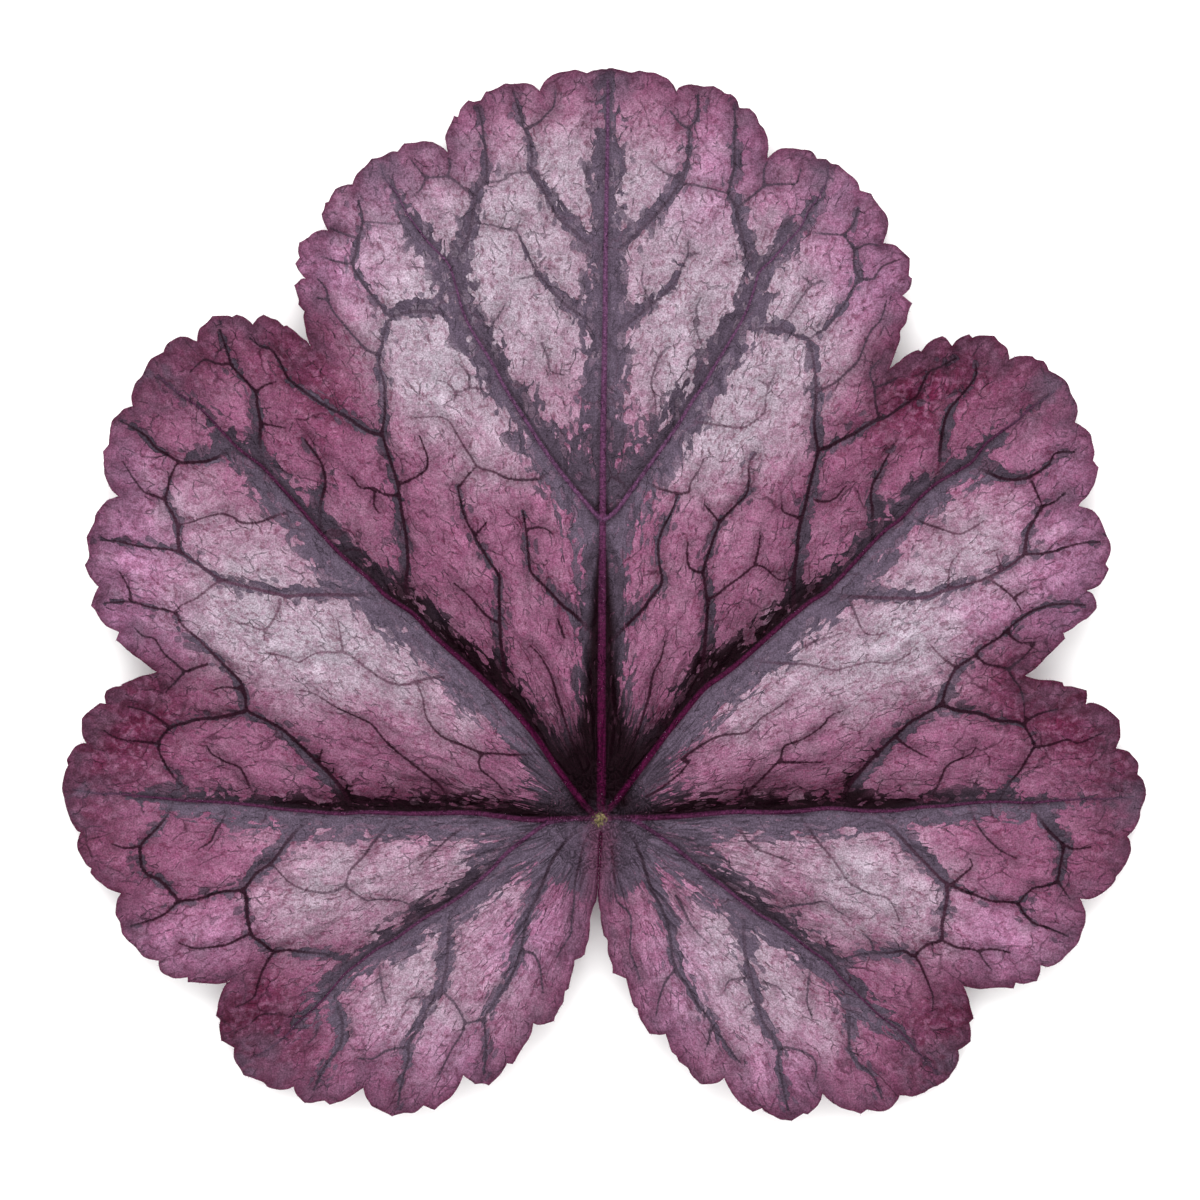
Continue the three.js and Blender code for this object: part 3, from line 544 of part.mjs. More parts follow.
// Points of the blade: the rim, the veins with a row on either side of each main one, and a loose field.
function bladePoints(rim, veins) {
  const points = [...rim];
  const add = (x, y, clearance, rimClearance) => {
    if (points.some((p) => Math.hypot(p.x - x, p.y - y) < clearance)) {
      return;
    }
    if (isInside(rim, x, y) && rimDistance(rim, x, y) > rimClearance) {
      points.push(new THREE.Vector2(x, y));
    }
  };
  const follow = (vein, offset, clearance) => {
    const count = Math.max(2, Math.round(vein.length / VEIN_STEP));
    for (let i = 0; i <= count; i += 1) {
      const place = vein.curve.getPointAt(i / count);
      const way = vein.curve.getTangentAt(i / count);
      add(place.x - way.y * offset, place.y + way.x * offset, clearance, 0.7);
    }
  };
  for (let i = 0; i < 8; i += 1) {
    const angle = ((i + 0.5) / 8) * 2 * Math.PI;
    add(REST_RADIUS * Math.cos(angle) - JUNCTION_X, REST_RADIUS * Math.sin(angle) - JUNCTION_Y, 0, 0);
  }
  veins.main.forEach((vein) => follow(vein, 0, 0.8));
  veins.main.forEach((vein) => follow(vein, RIB_HALF_WIDTH, 0.62));
  veins.main.forEach((vein) => follow(vein, -RIB_HALF_WIDTH, 0.62));
  veins.branch.forEach((vein) => follow(vein, 0, 0.95));
  veins.net.forEach((vein) => follow(vein, 0, 1.1));
  const random = randomFrom(SEED);
  for (let row = 0; row * FIELD_STEP * 0.866 < 110; row += 1) {
    for (let column = 0; column * FIELD_STEP < 112; column += 1) {
      const x = -56 + (column + (row % 2) / 2 + 0.2 * (random() - 0.5)) * FIELD_STEP;
      const y = -31 + (row * 0.866 + 0.2 * (random() - 0.5)) * FIELD_STEP;
      add(x, y, 0.58 * FIELD_STEP, 1.1);
    }
  }
  return points;
}

// A triangle with the circle through its corners.
function circleOf(points, a, b, c) {
  const [pa, pb, pc] = [points[a], points[b], points[c]];
  const bx = pb.x - pa.x;
  const by = pb.y - pa.y;
  const cx = pc.x - pa.x;
  const cy = pc.y - pa.y;
  const twice = 2 * (bx * cy - by * cx);
  const ux = (cy * (bx * bx + by * by) - by * (cx * cx + cy * cy)) / twice;
  const uy = (bx * (cx * cx + cy * cy) - cx * (bx * bx + by * by)) / twice;
  return { a, b, c, x: pa.x + ux, y: pa.y + uy, square: ux * ux + uy * uy };
}

// Delaunay triangles of a set of points, by adding them one at a time.
function triangulate(input) {
  const points = input.map((p) => ({ x: p.x, y: p.y }));
  const count = points.length;
  points.push({ x: -3000, y: -3000 }, { x: 3000, y: -3000 }, { x: 0, y: 4000 });
  let triangles = [circleOf(points, count, count + 1, count + 2)];
  for (let i = 0; i < count; i += 1) {
    const { x, y } = points[i];
    const kept = [];
    const open = new Map();
    triangles.forEach((t) => {
      const dx = x - t.x;
      const dy = y - t.y;
      if (dx * dx + dy * dy >= t.square) {
        kept.push(t);
        return;
      }
      [[t.a, t.b], [t.b, t.c], [t.c, t.a]].forEach(([from, to]) => {
        const back = to * 100000 + from;
        if (!open.delete(back)) {
          open.set(from * 100000 + to, [from, to]);
        }
      });
    });
    open.forEach(([from, to]) => kept.push(circleOf(points, from, to, i)));
    triangles = kept;
  }
  return triangles.filter((t) => t.a < count && t.b < count && t.c < count);
}

// Points and triangles of the flat blade, with the rim's edges among the triangles' sides.
function flatBlade(veins) {
  let rim = rimPoints();
  for (let round = 0; round < 8; round += 1) {
    const points = bladePoints(rim, veins);
    const triangles = triangulate(points).filter((t) => {
      const x = (points[t.a].x + points[t.b].x + points[t.c].x) / 3;
      const y = (points[t.a].y + points[t.b].y + points[t.c].y) / 3;
      return isInside(rim, x, y);
    });
    const sides = new Set();
    triangles.forEach((t) => {
      [[t.a, t.b], [t.b, t.c], [t.c, t.a]].forEach(([from, to]) => sides.add(from * 100000 + to));
    });
    const missing = rim.map((_, i) => i).filter((i) => {
      const j = (i + 1) % rim.length;
      return !sides.has(i * 100000 + j) && !sides.has(j * 100000 + i);
    });
    if (missing.length === 0) {
      return { rim, points, triangles };
    }
    rim = rim.flatMap((p, i) => {
      const next = rim[(i + 1) % rim.length];
      return missing.includes(i) ? [p, p.clone().lerp(next, 0.5)] : [p];
    });
  }
  throw new Error("the rim could not be kept in the triangles");
}

// Heights of the two faces over a place on the leaf.
function faces(veins, rim, x, y) {
  const main = nearest(veins.main, x, y);
  const branch = nearest(veins.branch, x, y);
  const net = Math.min(main.distance, branch.distance, nearest(veins.net, x, y).distance);
  const bank = Math.max(0, main.distance - RIB_HALF_WIDTH);
  const fold = FOLD_HEIGHT * (1 - Math.exp(-bank / FOLD_REACH));
  const valley = Math.min(BRANCH_VALLEY, fold / 2) * Math.exp(-branch.distance / BRANCH_REACH);
  const swell = CELL_BULGE * (1 - Math.exp(-Math.min(net, bank) / CELL_REACH));
  const radius = Math.hypot(x, y - 15) / 50;
  const wave = WAVE_HEIGHT * radius * radius * Math.sin(WAVE_COUNT * Math.atan2(y - 15, x) + 0.8);
  const droop = RIM_DROOP * Math.exp(-rimDistance(rim, x, y) / RIM_REACH);
  const rise = Math.max(0, fold - valley + wave * Math.min(1, fold / 2) - droop * Math.min(1, fold));
  const floor = VEIN_FLOOR + rise + swell;
  const taper = 1 - 0.7 * main.along;
  const rib = RIB_RISE * taper * Math.max(0, 1 - main.distance / RIB_HALF_WIDTH);
  const keel = Math.max(
    KEEL_DEPTH * taper * Math.max(0, 1 - main.distance / KEEL_HALF_WIDTH),
    KEEL_DEPTH * BRANCH_SHARE * (1 - 0.7 * branch.along) * Math.max(0, 1 - branch.distance / KEEL_HALF_WIDTH),
    NET_KEEL * Math.max(0, 1 - net / NET_HALF_WIDTH),
    3 * Math.max(0, 1.15 - Math.hypot(x, y) / SCAR_RADIUS),
  );
  const rests = Math.hypot(x + JUNCTION_X, y + JUNCTION_Y) < REST_RADIUS + 0.05;
  return { upper: floor + rib, under: rests ? 0 : Math.max(0, floor - BLADE_THICKNESS - keel) };
}

function leafGeometry() {
  const veins = {
    main: MAIN_VEINS.map(traced),
    branch: BRANCH_VEINS.map(traced),
    net: NET_VEINS.map(traced),
  };
  const { rim, points, triangles } = flatBlade(veins);
  const heights = points.map((p) => faces(veins, rim, p.x, p.y));
  const places = [];
  ["upper", "under"].forEach((face) => {
    points.forEach((p, i) => places.push(p.x + JUNCTION_X, p.y + JUNCTION_Y, heights[i][face]));
  });
  const count = points.length;
  const corners = [];
  triangles.forEach((t) => {
    corners.push(t.a, t.b, t.c);
    corners.push(count + t.a, count + t.c, count + t.b);
  });
  rim.forEach((_, i) => {
    const j = (i + 1) % rim.length;
    corners.push(i, j, count + j);
    corners.push(i, count + j, count + i);
  });
  const geometry = new THREE.BufferGeometry();
  geometry.setAttribute("position", new THREE.Float32BufferAttribute(places, 3));
  geometry.setIndex(corners);
  geometry.computeVertexNormals();
  return geometry;
}

const leaf = new THREE.Mesh(
  leafGeometry(),
  new THREE.MeshStandardMaterial({ color: 0x8f5f80, roughness: 0.62 }),
);
leaf.name = "leaf";

const part = new THREE.Group();
part.name = "heuchera leaf";
part.add(leaf);

export default part;
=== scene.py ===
"""A picked heuchera leaf, right side up on a pale floor: its fine blade, its hairs and the stage.

Places on the leaf are in millimetres from the point where its main veins meet, x to the right and
y to the tip. Objects are in metres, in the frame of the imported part.
"""

import math
import random
from collections import namedtuple
from functools import partial
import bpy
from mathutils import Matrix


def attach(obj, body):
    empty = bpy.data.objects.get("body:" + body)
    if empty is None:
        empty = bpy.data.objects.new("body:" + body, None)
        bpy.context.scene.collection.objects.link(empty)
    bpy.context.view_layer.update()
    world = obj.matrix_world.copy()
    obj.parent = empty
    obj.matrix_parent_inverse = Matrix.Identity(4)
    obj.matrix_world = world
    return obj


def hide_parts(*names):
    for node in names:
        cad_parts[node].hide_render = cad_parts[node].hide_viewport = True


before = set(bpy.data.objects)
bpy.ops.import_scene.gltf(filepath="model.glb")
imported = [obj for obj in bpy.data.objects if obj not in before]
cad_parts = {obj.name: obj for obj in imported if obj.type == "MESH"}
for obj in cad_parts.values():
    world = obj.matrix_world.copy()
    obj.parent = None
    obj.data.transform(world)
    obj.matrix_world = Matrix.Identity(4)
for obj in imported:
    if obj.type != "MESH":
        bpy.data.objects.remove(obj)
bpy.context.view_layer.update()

from types import SimpleNamespace

import bmesh
import bpy
from bpy.props import FloatProperty, FloatVectorProperty, IntProperty, PointerProperty
from mathutils import Matrix, Vector, kdtree, noise
from mathutils.geometry import delaunay_2d_cdt

bl_info = {
    "name": "Heuchera leaf",
    "version": (1, 0, 0),
    "blender": (4, 5, 0),
    "location": "View3D > Sidebar > Leaf",
    "description": "Builds a picked heuchera leaf with its veins, net and hairs",
    "category": "Object",
}

MM = 0.001
JUNCTION = Vector((-0.4, -22.65))  # where the main veins meet, from the middle of the leaf's box
MIDDLE = Vector((0.0, 15.0))  # the middle that the lobes' slow waves turn round

# The main veins, from the junction or from the vein that each leaves, outwards.
MAIN_VEINS = [
    # Midrib.
    [0.1, 0.2, 0.15, 6, 0.15, 12, 0.2, 20, 0.25, 28, 0.28, 36, 0.4, 44, 0.5, 50, 0.55, 56, 0.65, 62,
     0.75, 68, 0.8, 74],
    # To the left upper lobe.
    [0.1, 0.2, -1.2, 1.1, -4.1, 4.85, -6.4, 8.25, -9.5, 11.85, -12.9, 15.1, -16.5, 18.3, -18.7, 20.6,
     -21.4, 22.4, -23, 24, -26.4, 27, -30, 31.15, -32.3, 33.7, -34, 35.5, -36, 37, -37.7, 38.7, -39.3, 40.5,
     -40.7, 41.7, -42.2, 42.7, -44.2, 44.4],
    # To the right upper lobe.
    [0.1, 0.2, 1.1, 1.25, 2.75, 3.4, 4.5, 5.7, 6.5, 8.4, 8.3, 10.6, 10.4, 13.1, 12.2, 14.4, 14, 15.8,
     17.6, 19, 19.4, 20.5, 21.15, 21.9, 22.6, 22.8, 24.4, 24.6, 26.8, 27.2, 28.6, 29, 30.2, 30.2, 31.8, 32,
     33.6, 33.6, 35.4, 34.7, 37.2, 35.8, 38.6, 37.6, 40.1, 38.8, 41.7, 39.9, 43.1, 41.2, 45.5, 42.9],
    # To the left side lobe.
    [0.1, 0.2, -2.4, 0.1, -6.2, 0, -8.05, 0.08, -10.7, 0.43, -13.4, 0.7, -18.8, 0.6, -23.5, 0.75, -26, 0.6,
     -29, 0.83, -31.7, 1.05, -34.2, 1.4, -36.7, 1.65, -39.2, 1.83, -41.7, 1.9, -43.3, 2.1, -45.8, 2.33,
     -48.3, 2.6, -50, 2.6, -52.8, 3],
    # To the right side lobe.
    [0.1, 0.2, 1.6, 0.2, 5.2, 0.2, 8.8, 0.4, 11.5, 0.64, 14.15, 0.8, 16.85, 0.73, 19.5, 0.8, 22.2, 1.1,
     24, 1.1, 26, 0.9, 29.4, 0.9, 32.1, 1.24, 34.8, 1.4, 37.5, 1.7, 40.15, 1.8, 42.85, 1.7, 45.5, 1.9,
     48.2, 2.05, 50.9, 2.1, 53.4, 2.3],
    # To the left lower lobe.
    [-2.4, 0.1, -4.2, -0.1, -5.4, -0.4, -6.6, -1.2, -8.05, -2.3, -9.5, -3.5, -10.7, -4.8, -12, -6,
     -13.8, -7.5, -15.6, -8.7, -17.2, -9.6, -18.8, -10.7, -20.6, -12, -22.4, -13, -24.2, -14.4,
     -25.4, -15.3, -26.7, -16.8, -28, -18.3, -29.3, -19.5, -30.5, -20.5, -31.3, -21.5, -32.5, -22.5,
     -34.6, -23.8],
    # To the right lower lobe.
    [1.6, 0.2, 3.4, -0.1, 5.2, -1.15, 7, -2.4, 8.8, -3.85, 10.6, -5.3, 12.4, -6.7, 14.15, -8.15,
     15.95, -9.5, 17.4, -10.3, 19.2, -11.6, 21, -13, 22.8, -14.3, 24, -15.7, 25.6, -17.3, 26.7, -18.4,
     28.1, -19.7, 29.7, -20.9, 31.2, -22.4, 32.5, -24, 33.8, -25.4],
    # The two strong forks of the midrib.
    [0.25, 30, -0.7, 30.9, -2.9, 33.5, -5.4, 36.8, -7.2, 39.6, -9.4, 43.05, -10.8, 45.7, -12.6, 48.6,
     -13.7, 50.8, -14.4, 53.3, -15, 55.3, -15.8, 56.4, -17, 57.6, -18.4, 59.4, -19.5, 61, -20.4, 62.8,
     -21.4, 64, -22, 65.6],
    [0.25, 30, 1.57, 30.9, 3.5, 33.5, 5.9, 36.8, 7.85, 39.6, 9.3, 42, 10.3, 43.4, 11.9, 46.1, 13.3, 48.4,
     14.6, 50.8, 15.5, 53.3, 15.95, 54.8, 17.3, 56.15, 18.7, 57.8, 20, 59.2, 20.9, 61, 21.8, 62.25,
     22.7, 63.9, 22.9, 65.5],
]

# The branches, each again from the vein that it leaves.
BRANCH_VEINS = [
    # Top lobe.
    [-14.9, 55.2, -14.3, 56, -13.5, 57.4, -12.9, 59.4, -12.7, 61.2, -12.5, 62.4, -11.8, 63.5, -11.3, 64.8,
     -11.4, 66.4, -11.6, 68.1, -11.8, 69.7, -12.2, 71.2],
    [15.85, 54.7, 14.95, 56.3, 14.3, 57.95, 13.9, 59.7, 13.6, 61.2, 12.9, 62.6, 13.15, 64.05, 13.5, 65.8,
     13.4, 67.6, 13.5, 69.5, 13.4, 71],
    [0.5, 47.6, 1.7, 48.8, 3.5, 50.2, 5.1, 51.5, 6.5, 52.7, 7.6, 53.8, 8.1, 55.1, 8.75, 56.4, 8.8, 57.8],
    [0.6, 56, 1.85, 57, 3.6, 58.6, 5.3, 60.2, 6.5, 61.6, 7.8, 63.4, 8.6, 65.2, 8.85, 67, 9, 69, 9.7, 70.2,
     9.8, 72.4],
    [0.4, 48.6, -0.85, 49.8, -2.6, 50.9, -3.9, 51.95, -5.3, 53.6, -6.2, 54.6, -7.1, 56.25, -7.85, 57.9,
     -8.4, 58.95],
    [0.55, 57, -1.4, 57.7, -2.6, 58.95, -4.1, 60.2, -5.15, 62, -6.05, 63.6, -6.8, 64.9, -6.8, 66.5,
     -7.1, 68.1, -7.7, 69.4, -8, 70.6, -8.6, 72.6],
    [-14, 50.6, -15.4, 50.6, -17.4, 50.9, -19.3, 50.8, -20.9, 50.4, -22, 51.5, -23.3, 53.1, -24.4, 54.7,
     -24.7, 55.6, -24.4, 56.9, -24.1, 58.3, -23.8, 60.1, -24.2, 61.9],
    [14.1, 49.4, 15.1, 49.15, 16.9, 49.2, 18.4, 49, 19.6, 48.4, 21.05, 48.1],
    [-19.3, 21.2, -19.4, 23.9, -19.2, 25.7, -19.4, 28.4, -19.8, 30.7, -20.1, 32.85, -20.5, 34.6, -21, 36.1,
     -21.7, 38.6, -21.5, 40.4, -21.5, 42, -21.6, 43.8, -22.1, 45.7, -21.8, 47.4, -21.5, 49.15, -20.9, 50.4],
    [19.4, 20.8, 19.4, 24.2, 19.7, 26.6, 19.95, 29.25, 20.5, 31.4, 21, 33.7, 21.6, 36.1, 21.75, 37.15,
     21.4, 39.3, 21.5, 41.1, 21.6, 42.9, 21.45, 45.2, 21.2, 46.8, 21.05, 48.1, 22.5, 49.15, 23.6, 50.4,
     24.6, 51.85, 25.5, 53.5, 25.9, 54.2, 25.4, 55.6, 25.4, 57.05, 24.6, 58.5, 25.4, 59.7, 25.8, 61.2],
    [-21.7, 38.6, -22.5, 38.6, -23.9, 39.3, -25.5, 40.4, -27.3, 41.3, -29.1, 42.5, -30.3, 43.4, -31.2, 44.2,
     -32, 45.8, -32.8, 47, -34, 47.4, -35, 48.2],
    [21.75, 37, 22.6, 37.2, 23.9, 37.9, 25.7, 38.8, 27.1, 39.7, 28.6, 40.3, 30.2, 41.4, 31.6, 42.3,
     32.2, 43.5, 32.9, 44.8, 34, 45.3, 35.6, 46.2],
    [-9.6, 12.5, -9.65, 15.4, -9.9, 17.5, -10, 19.9, -10.1, 22.6, -10.1, 24.4, -11.15, 26, -12.6, 28.5,
     -13.5, 30.3, -13.9, 31.8, -14.2, 33.2],
    [9.9, 12.8, 10.4, 16.5, 10.6, 19, 10.75, 21.2, 10.5, 23.5, 10.35, 25, 10.7, 26.2, 11.3, 28, 12.05, 29.8,
     13.5, 31.4, 14.6, 32.5, 14.9, 34.1, 14.9, 35.7, 15.5, 36.6],
    [0.2, 17.6, -2.3, 20.3, -3.7, 21.4, -5, 22.8, -6.05, 23.9, -6.95, 24.95, -7.2, 26.9, -7.4, 29.1,
     -7.7, 30.9],
    [0.2, 16.8, 1.8, 18.6, 3.3, 20.1, 4.2, 21, 5.4, 22.6, 6.2, 23.8, 5.95, 25.5, 5.8, 27.6, 6.3, 29.1,
     7.2, 30.9, 7.7, 32.3],
    # Left upper lobe.
    [-21.6, 22.6, -24.4, 22.5, -27.1, 22.5, -29.8, 22.5, -31.3, 22.4, -34, 23, -36, 23.5, -37.8, 24,
     -39.3, 25, -40.7, 26, -42, 26.8, -43.5, 27.1, -45, 27.25, -46.7, 27.5, -47.8, 27.8, -49.8, 28],
    [-42, 26.8, -42.1, 27.8, -42.2, 29.5, -42.8, 30.8, -43.4, 31.9, -43.2, 33, -43, 34, -42.5, 35.3,
     -42, 35.8],
    [-36.3, 37, -37.8, 36.5, -39.3, 35.9, -41, 35.75, -42, 35.8, -43.2, 36.5, -44.5, 37.3, -45.2, 38.2,
     -46, 38.8, -47.9, 39.9],
    [-33.4, 35, -34, 37, -34, 38.8, -34, 40, -34.3, 41.5, -34.4, 42.7, -35.5, 44, -36.7, 45.3, -37.1, 46.3,
     -37.4, 47.2, -38, 49],
    [-28, 28.9, -28, 31.4, -27.5, 33.4, -27.6, 34.8, -28.1, 36.1, -28.9, 37.2, -29.5, 38],
    [-24.6, 0.9, -26.2, 3.6, -28, 5.5, -29.8, 7.3, -31.6, 8.95, -33.4, 10, -35.2, 10.95, -35.4, 12.4,
     -35.9, 13.8, -37, 15, -38.2, 16.2, -39.2, 17.2, -40.3, 18.3, -41.7, 19.5, -42.3, 20.6, -43.3, 21,
     -45, 21.3, -46.7, 21.8, -49.4, 21.7],
    # Right upper lobe.
    [22.7, 22.7, 23.85, 22.5, 25.6, 22.3, 28.5, 22.2, 31, 22.15, 32.7, 22.3, 34.3, 22.9, 36.1, 23.4,
     37.9, 23.95, 39.7, 24.7, 41.15, 25.6, 42.4, 26.5, 43.7, 26.6, 45.1, 26.8, 46.9, 27.4, 48.3, 27.7,
     49.9, 27.8],
    [42.4, 26.5, 42.5, 27.7, 42.8, 29, 43.5, 30.2, 44.2, 31.3, 45.3, 31.75, 46.5, 32.7],
    [37, 35.8, 38.1, 35.1, 39.2, 34.6, 40.4, 34.1, 42.2, 34.1, 43.7, 34.7, 44.9, 35.6, 45.6, 36.7,
     47.4, 36.8],
    [33.5, 33.6, 33.97, 35.4, 34.06, 37.2, 34.3, 39, 34.8, 40.8, 35.8, 42.1, 36.85, 43.3, 37.6, 44.4,
     37.6, 45.6],
    [27.2, 27.7, 27.3, 30.7, 27.1, 32.3, 27.3, 33.6, 28, 34.8, 28.4, 35.7, 28.9, 36.6],
    [24, 1.2, 24.6, 2.9, 25.6, 4.3, 27.4, 6.3, 29.2, 8.1, 30.9, 9.7, 32.4, 10.6, 34, 11.6, 34.5, 13.1,
     35.1, 14.5, 35.8, 15.4, 37.2, 16.3, 38.1, 17.2, 39.6, 18.1, 40.6, 19, 41.9, 20.1, 43.15, 20.9,
     44.95, 21.5, 46.4, 21.6, 48.4, 21.5],
    # Left side lobe.
    [-28, 0.6, -30, -0.7, -31.3, -2.2, -32.8, -4.2, -34.3, -5.3, -35.7, -6.9, -37.5, -7.1, -39, -7.5,
     -40.3, -7.9, -42, -8.1, -42.7, -8.7, -43.7, -9.5, -45, -10, -46.9, -10.6],
    [-35.2, 10.95, -37, 10.5, -38.5, 10.2, -40, 10.1, -41.5, 9.7, -42.8, 9.3, -43.8, 8.4, -44.2, 7.2,
     -43.5, 5.5, -42.6, 4.2, -41.5, 3, -40.6, 2],
    [-35.6, -7, -35.3, -8, -35.25, -9.3, -35, -10.7, -34.7, -11.5, -33.7, -12.3, -32.6, -13.1, -31.2, -13,
     -29.5, -13.2, -27.8, -13.4, -26.3, -13.75, -25.3, -14.2, -24, -14.3],
    [-42, -8.1, -43, -7, -44, -6, -45.2, -5.5, -45.8, -4.7, -46, -3.5, -45.9, -2.5, -45.2, -1.7,
     -44.3, -0.8, -43.8, -0.2, -43, 1, -42.7, 2],
    # Right side lobe.
    [27.2, 0.9, 28.5, -0.1, 29.9, -1.5, 31.5, -3.3, 33, -4.8, 34.3, -6.1, 35.7, -6.8, 37.5, -7.5,
     39.3, -8.1, 41.6, -8.3, 42.3, -9.25, 43.4, -10.3, 44.6, -10.7, 46.8, -11.6],
    [34, 11.6, 34.7, 11.3, 36, 10.9, 37.8, 10.7, 39.6, 10, 41.9, 9.75, 42.8, 8.8, 43.4, 7.4, 42.8, 6.25,
     42.1, 5, 41, 3.7, 40, 2],
    [34.6, -6.3, 34.7, -7.6, 34.4, -9.3, 34.15, -10.5, 34.05, -11.95, 32.6, -12.5, 31.4, -13.5, 30.3, -13.1,
     29, -13.3, 27.6, -13.3, 26, -13.5, 24.5, -13.9, 22.8, -14.2],
    [43.2, 1.7, 43.6, 0.8, 44.3, -0.3, 45, -1.2, 46.1, -2.25, 46.35, -3, 46, -4.8, 45.7, -6.1, 44.6, -6.6,
     43.4, -6.8, 42.5, -7.5, 41.9, -8.3],
    # Left lower lobe.
    [-13.6, -7.3, -14.7, -9, -15.1, -10.6, -15.2, -12.6, -15.4, -14.8, -15.85, -16.8, -16.8, -18.15,
     -17.5, -19.5, -18.3, -21.1, -19.1, -22.3, -19.15, -24, -19.7, -25.7, -20.2, -28.4],
    [-0.6, -0.3, -2.4, -1.2, -3.8, -2.6, -4.9, -4.3, -5.7, -6.3, -6.6, -8.3, -7.4, -10.15, -7.7, -12,
     -8.15, -13.85, -8.9, -15.7, -10, -17.4, -10.8, -18.6, -11.5, -19.6, -11.5, -20.6, -11.4, -22,
     -11.4, -23.4, -11.6, -25.2],
    [-26.6, -16.8, -26.4, -18.2, -25.8, -20.3, -25.9, -22.3, -26.8, -23.8, -27.6, -24.8, -28.6, -27],
    # Right lower lobe.
    [13.5, -7.8, 14.3, -9.4, 14.4, -11.5, 14.6, -13.7, 15.1, -15.7, 15.6, -17.6, 16.15, -19.8, 17.05, -21.4,
     17.8, -22.85, 17.8, -24.3, 18.1, -25.7, 18.5, -27.7, 18.8, -29],
    [0.9, -0.3, 2.2, -0.9, 3.2, -1.6, 3.9, -3.1, 4.5, -4.9, 5, -6.6, 5.9, -8.3, 6.6, -9.9, 7, -11.7,
     7.3, -13.9, 7.9, -15.5, 8.8, -16.6, 9.5, -18, 10.6, -19.4, 11.5, -20.7, 12.4, -22.1, 13.3, -23.4,
     13.9, -24.1],
    [23.8, -15.4, 24.5, -16.6, 24.8, -17.8, 24.95, -19.8, 24.9, -21.95, 25.1, -23.4, 26, -24.5, 27.3, -25.6,
     28.2, -27.8],
]

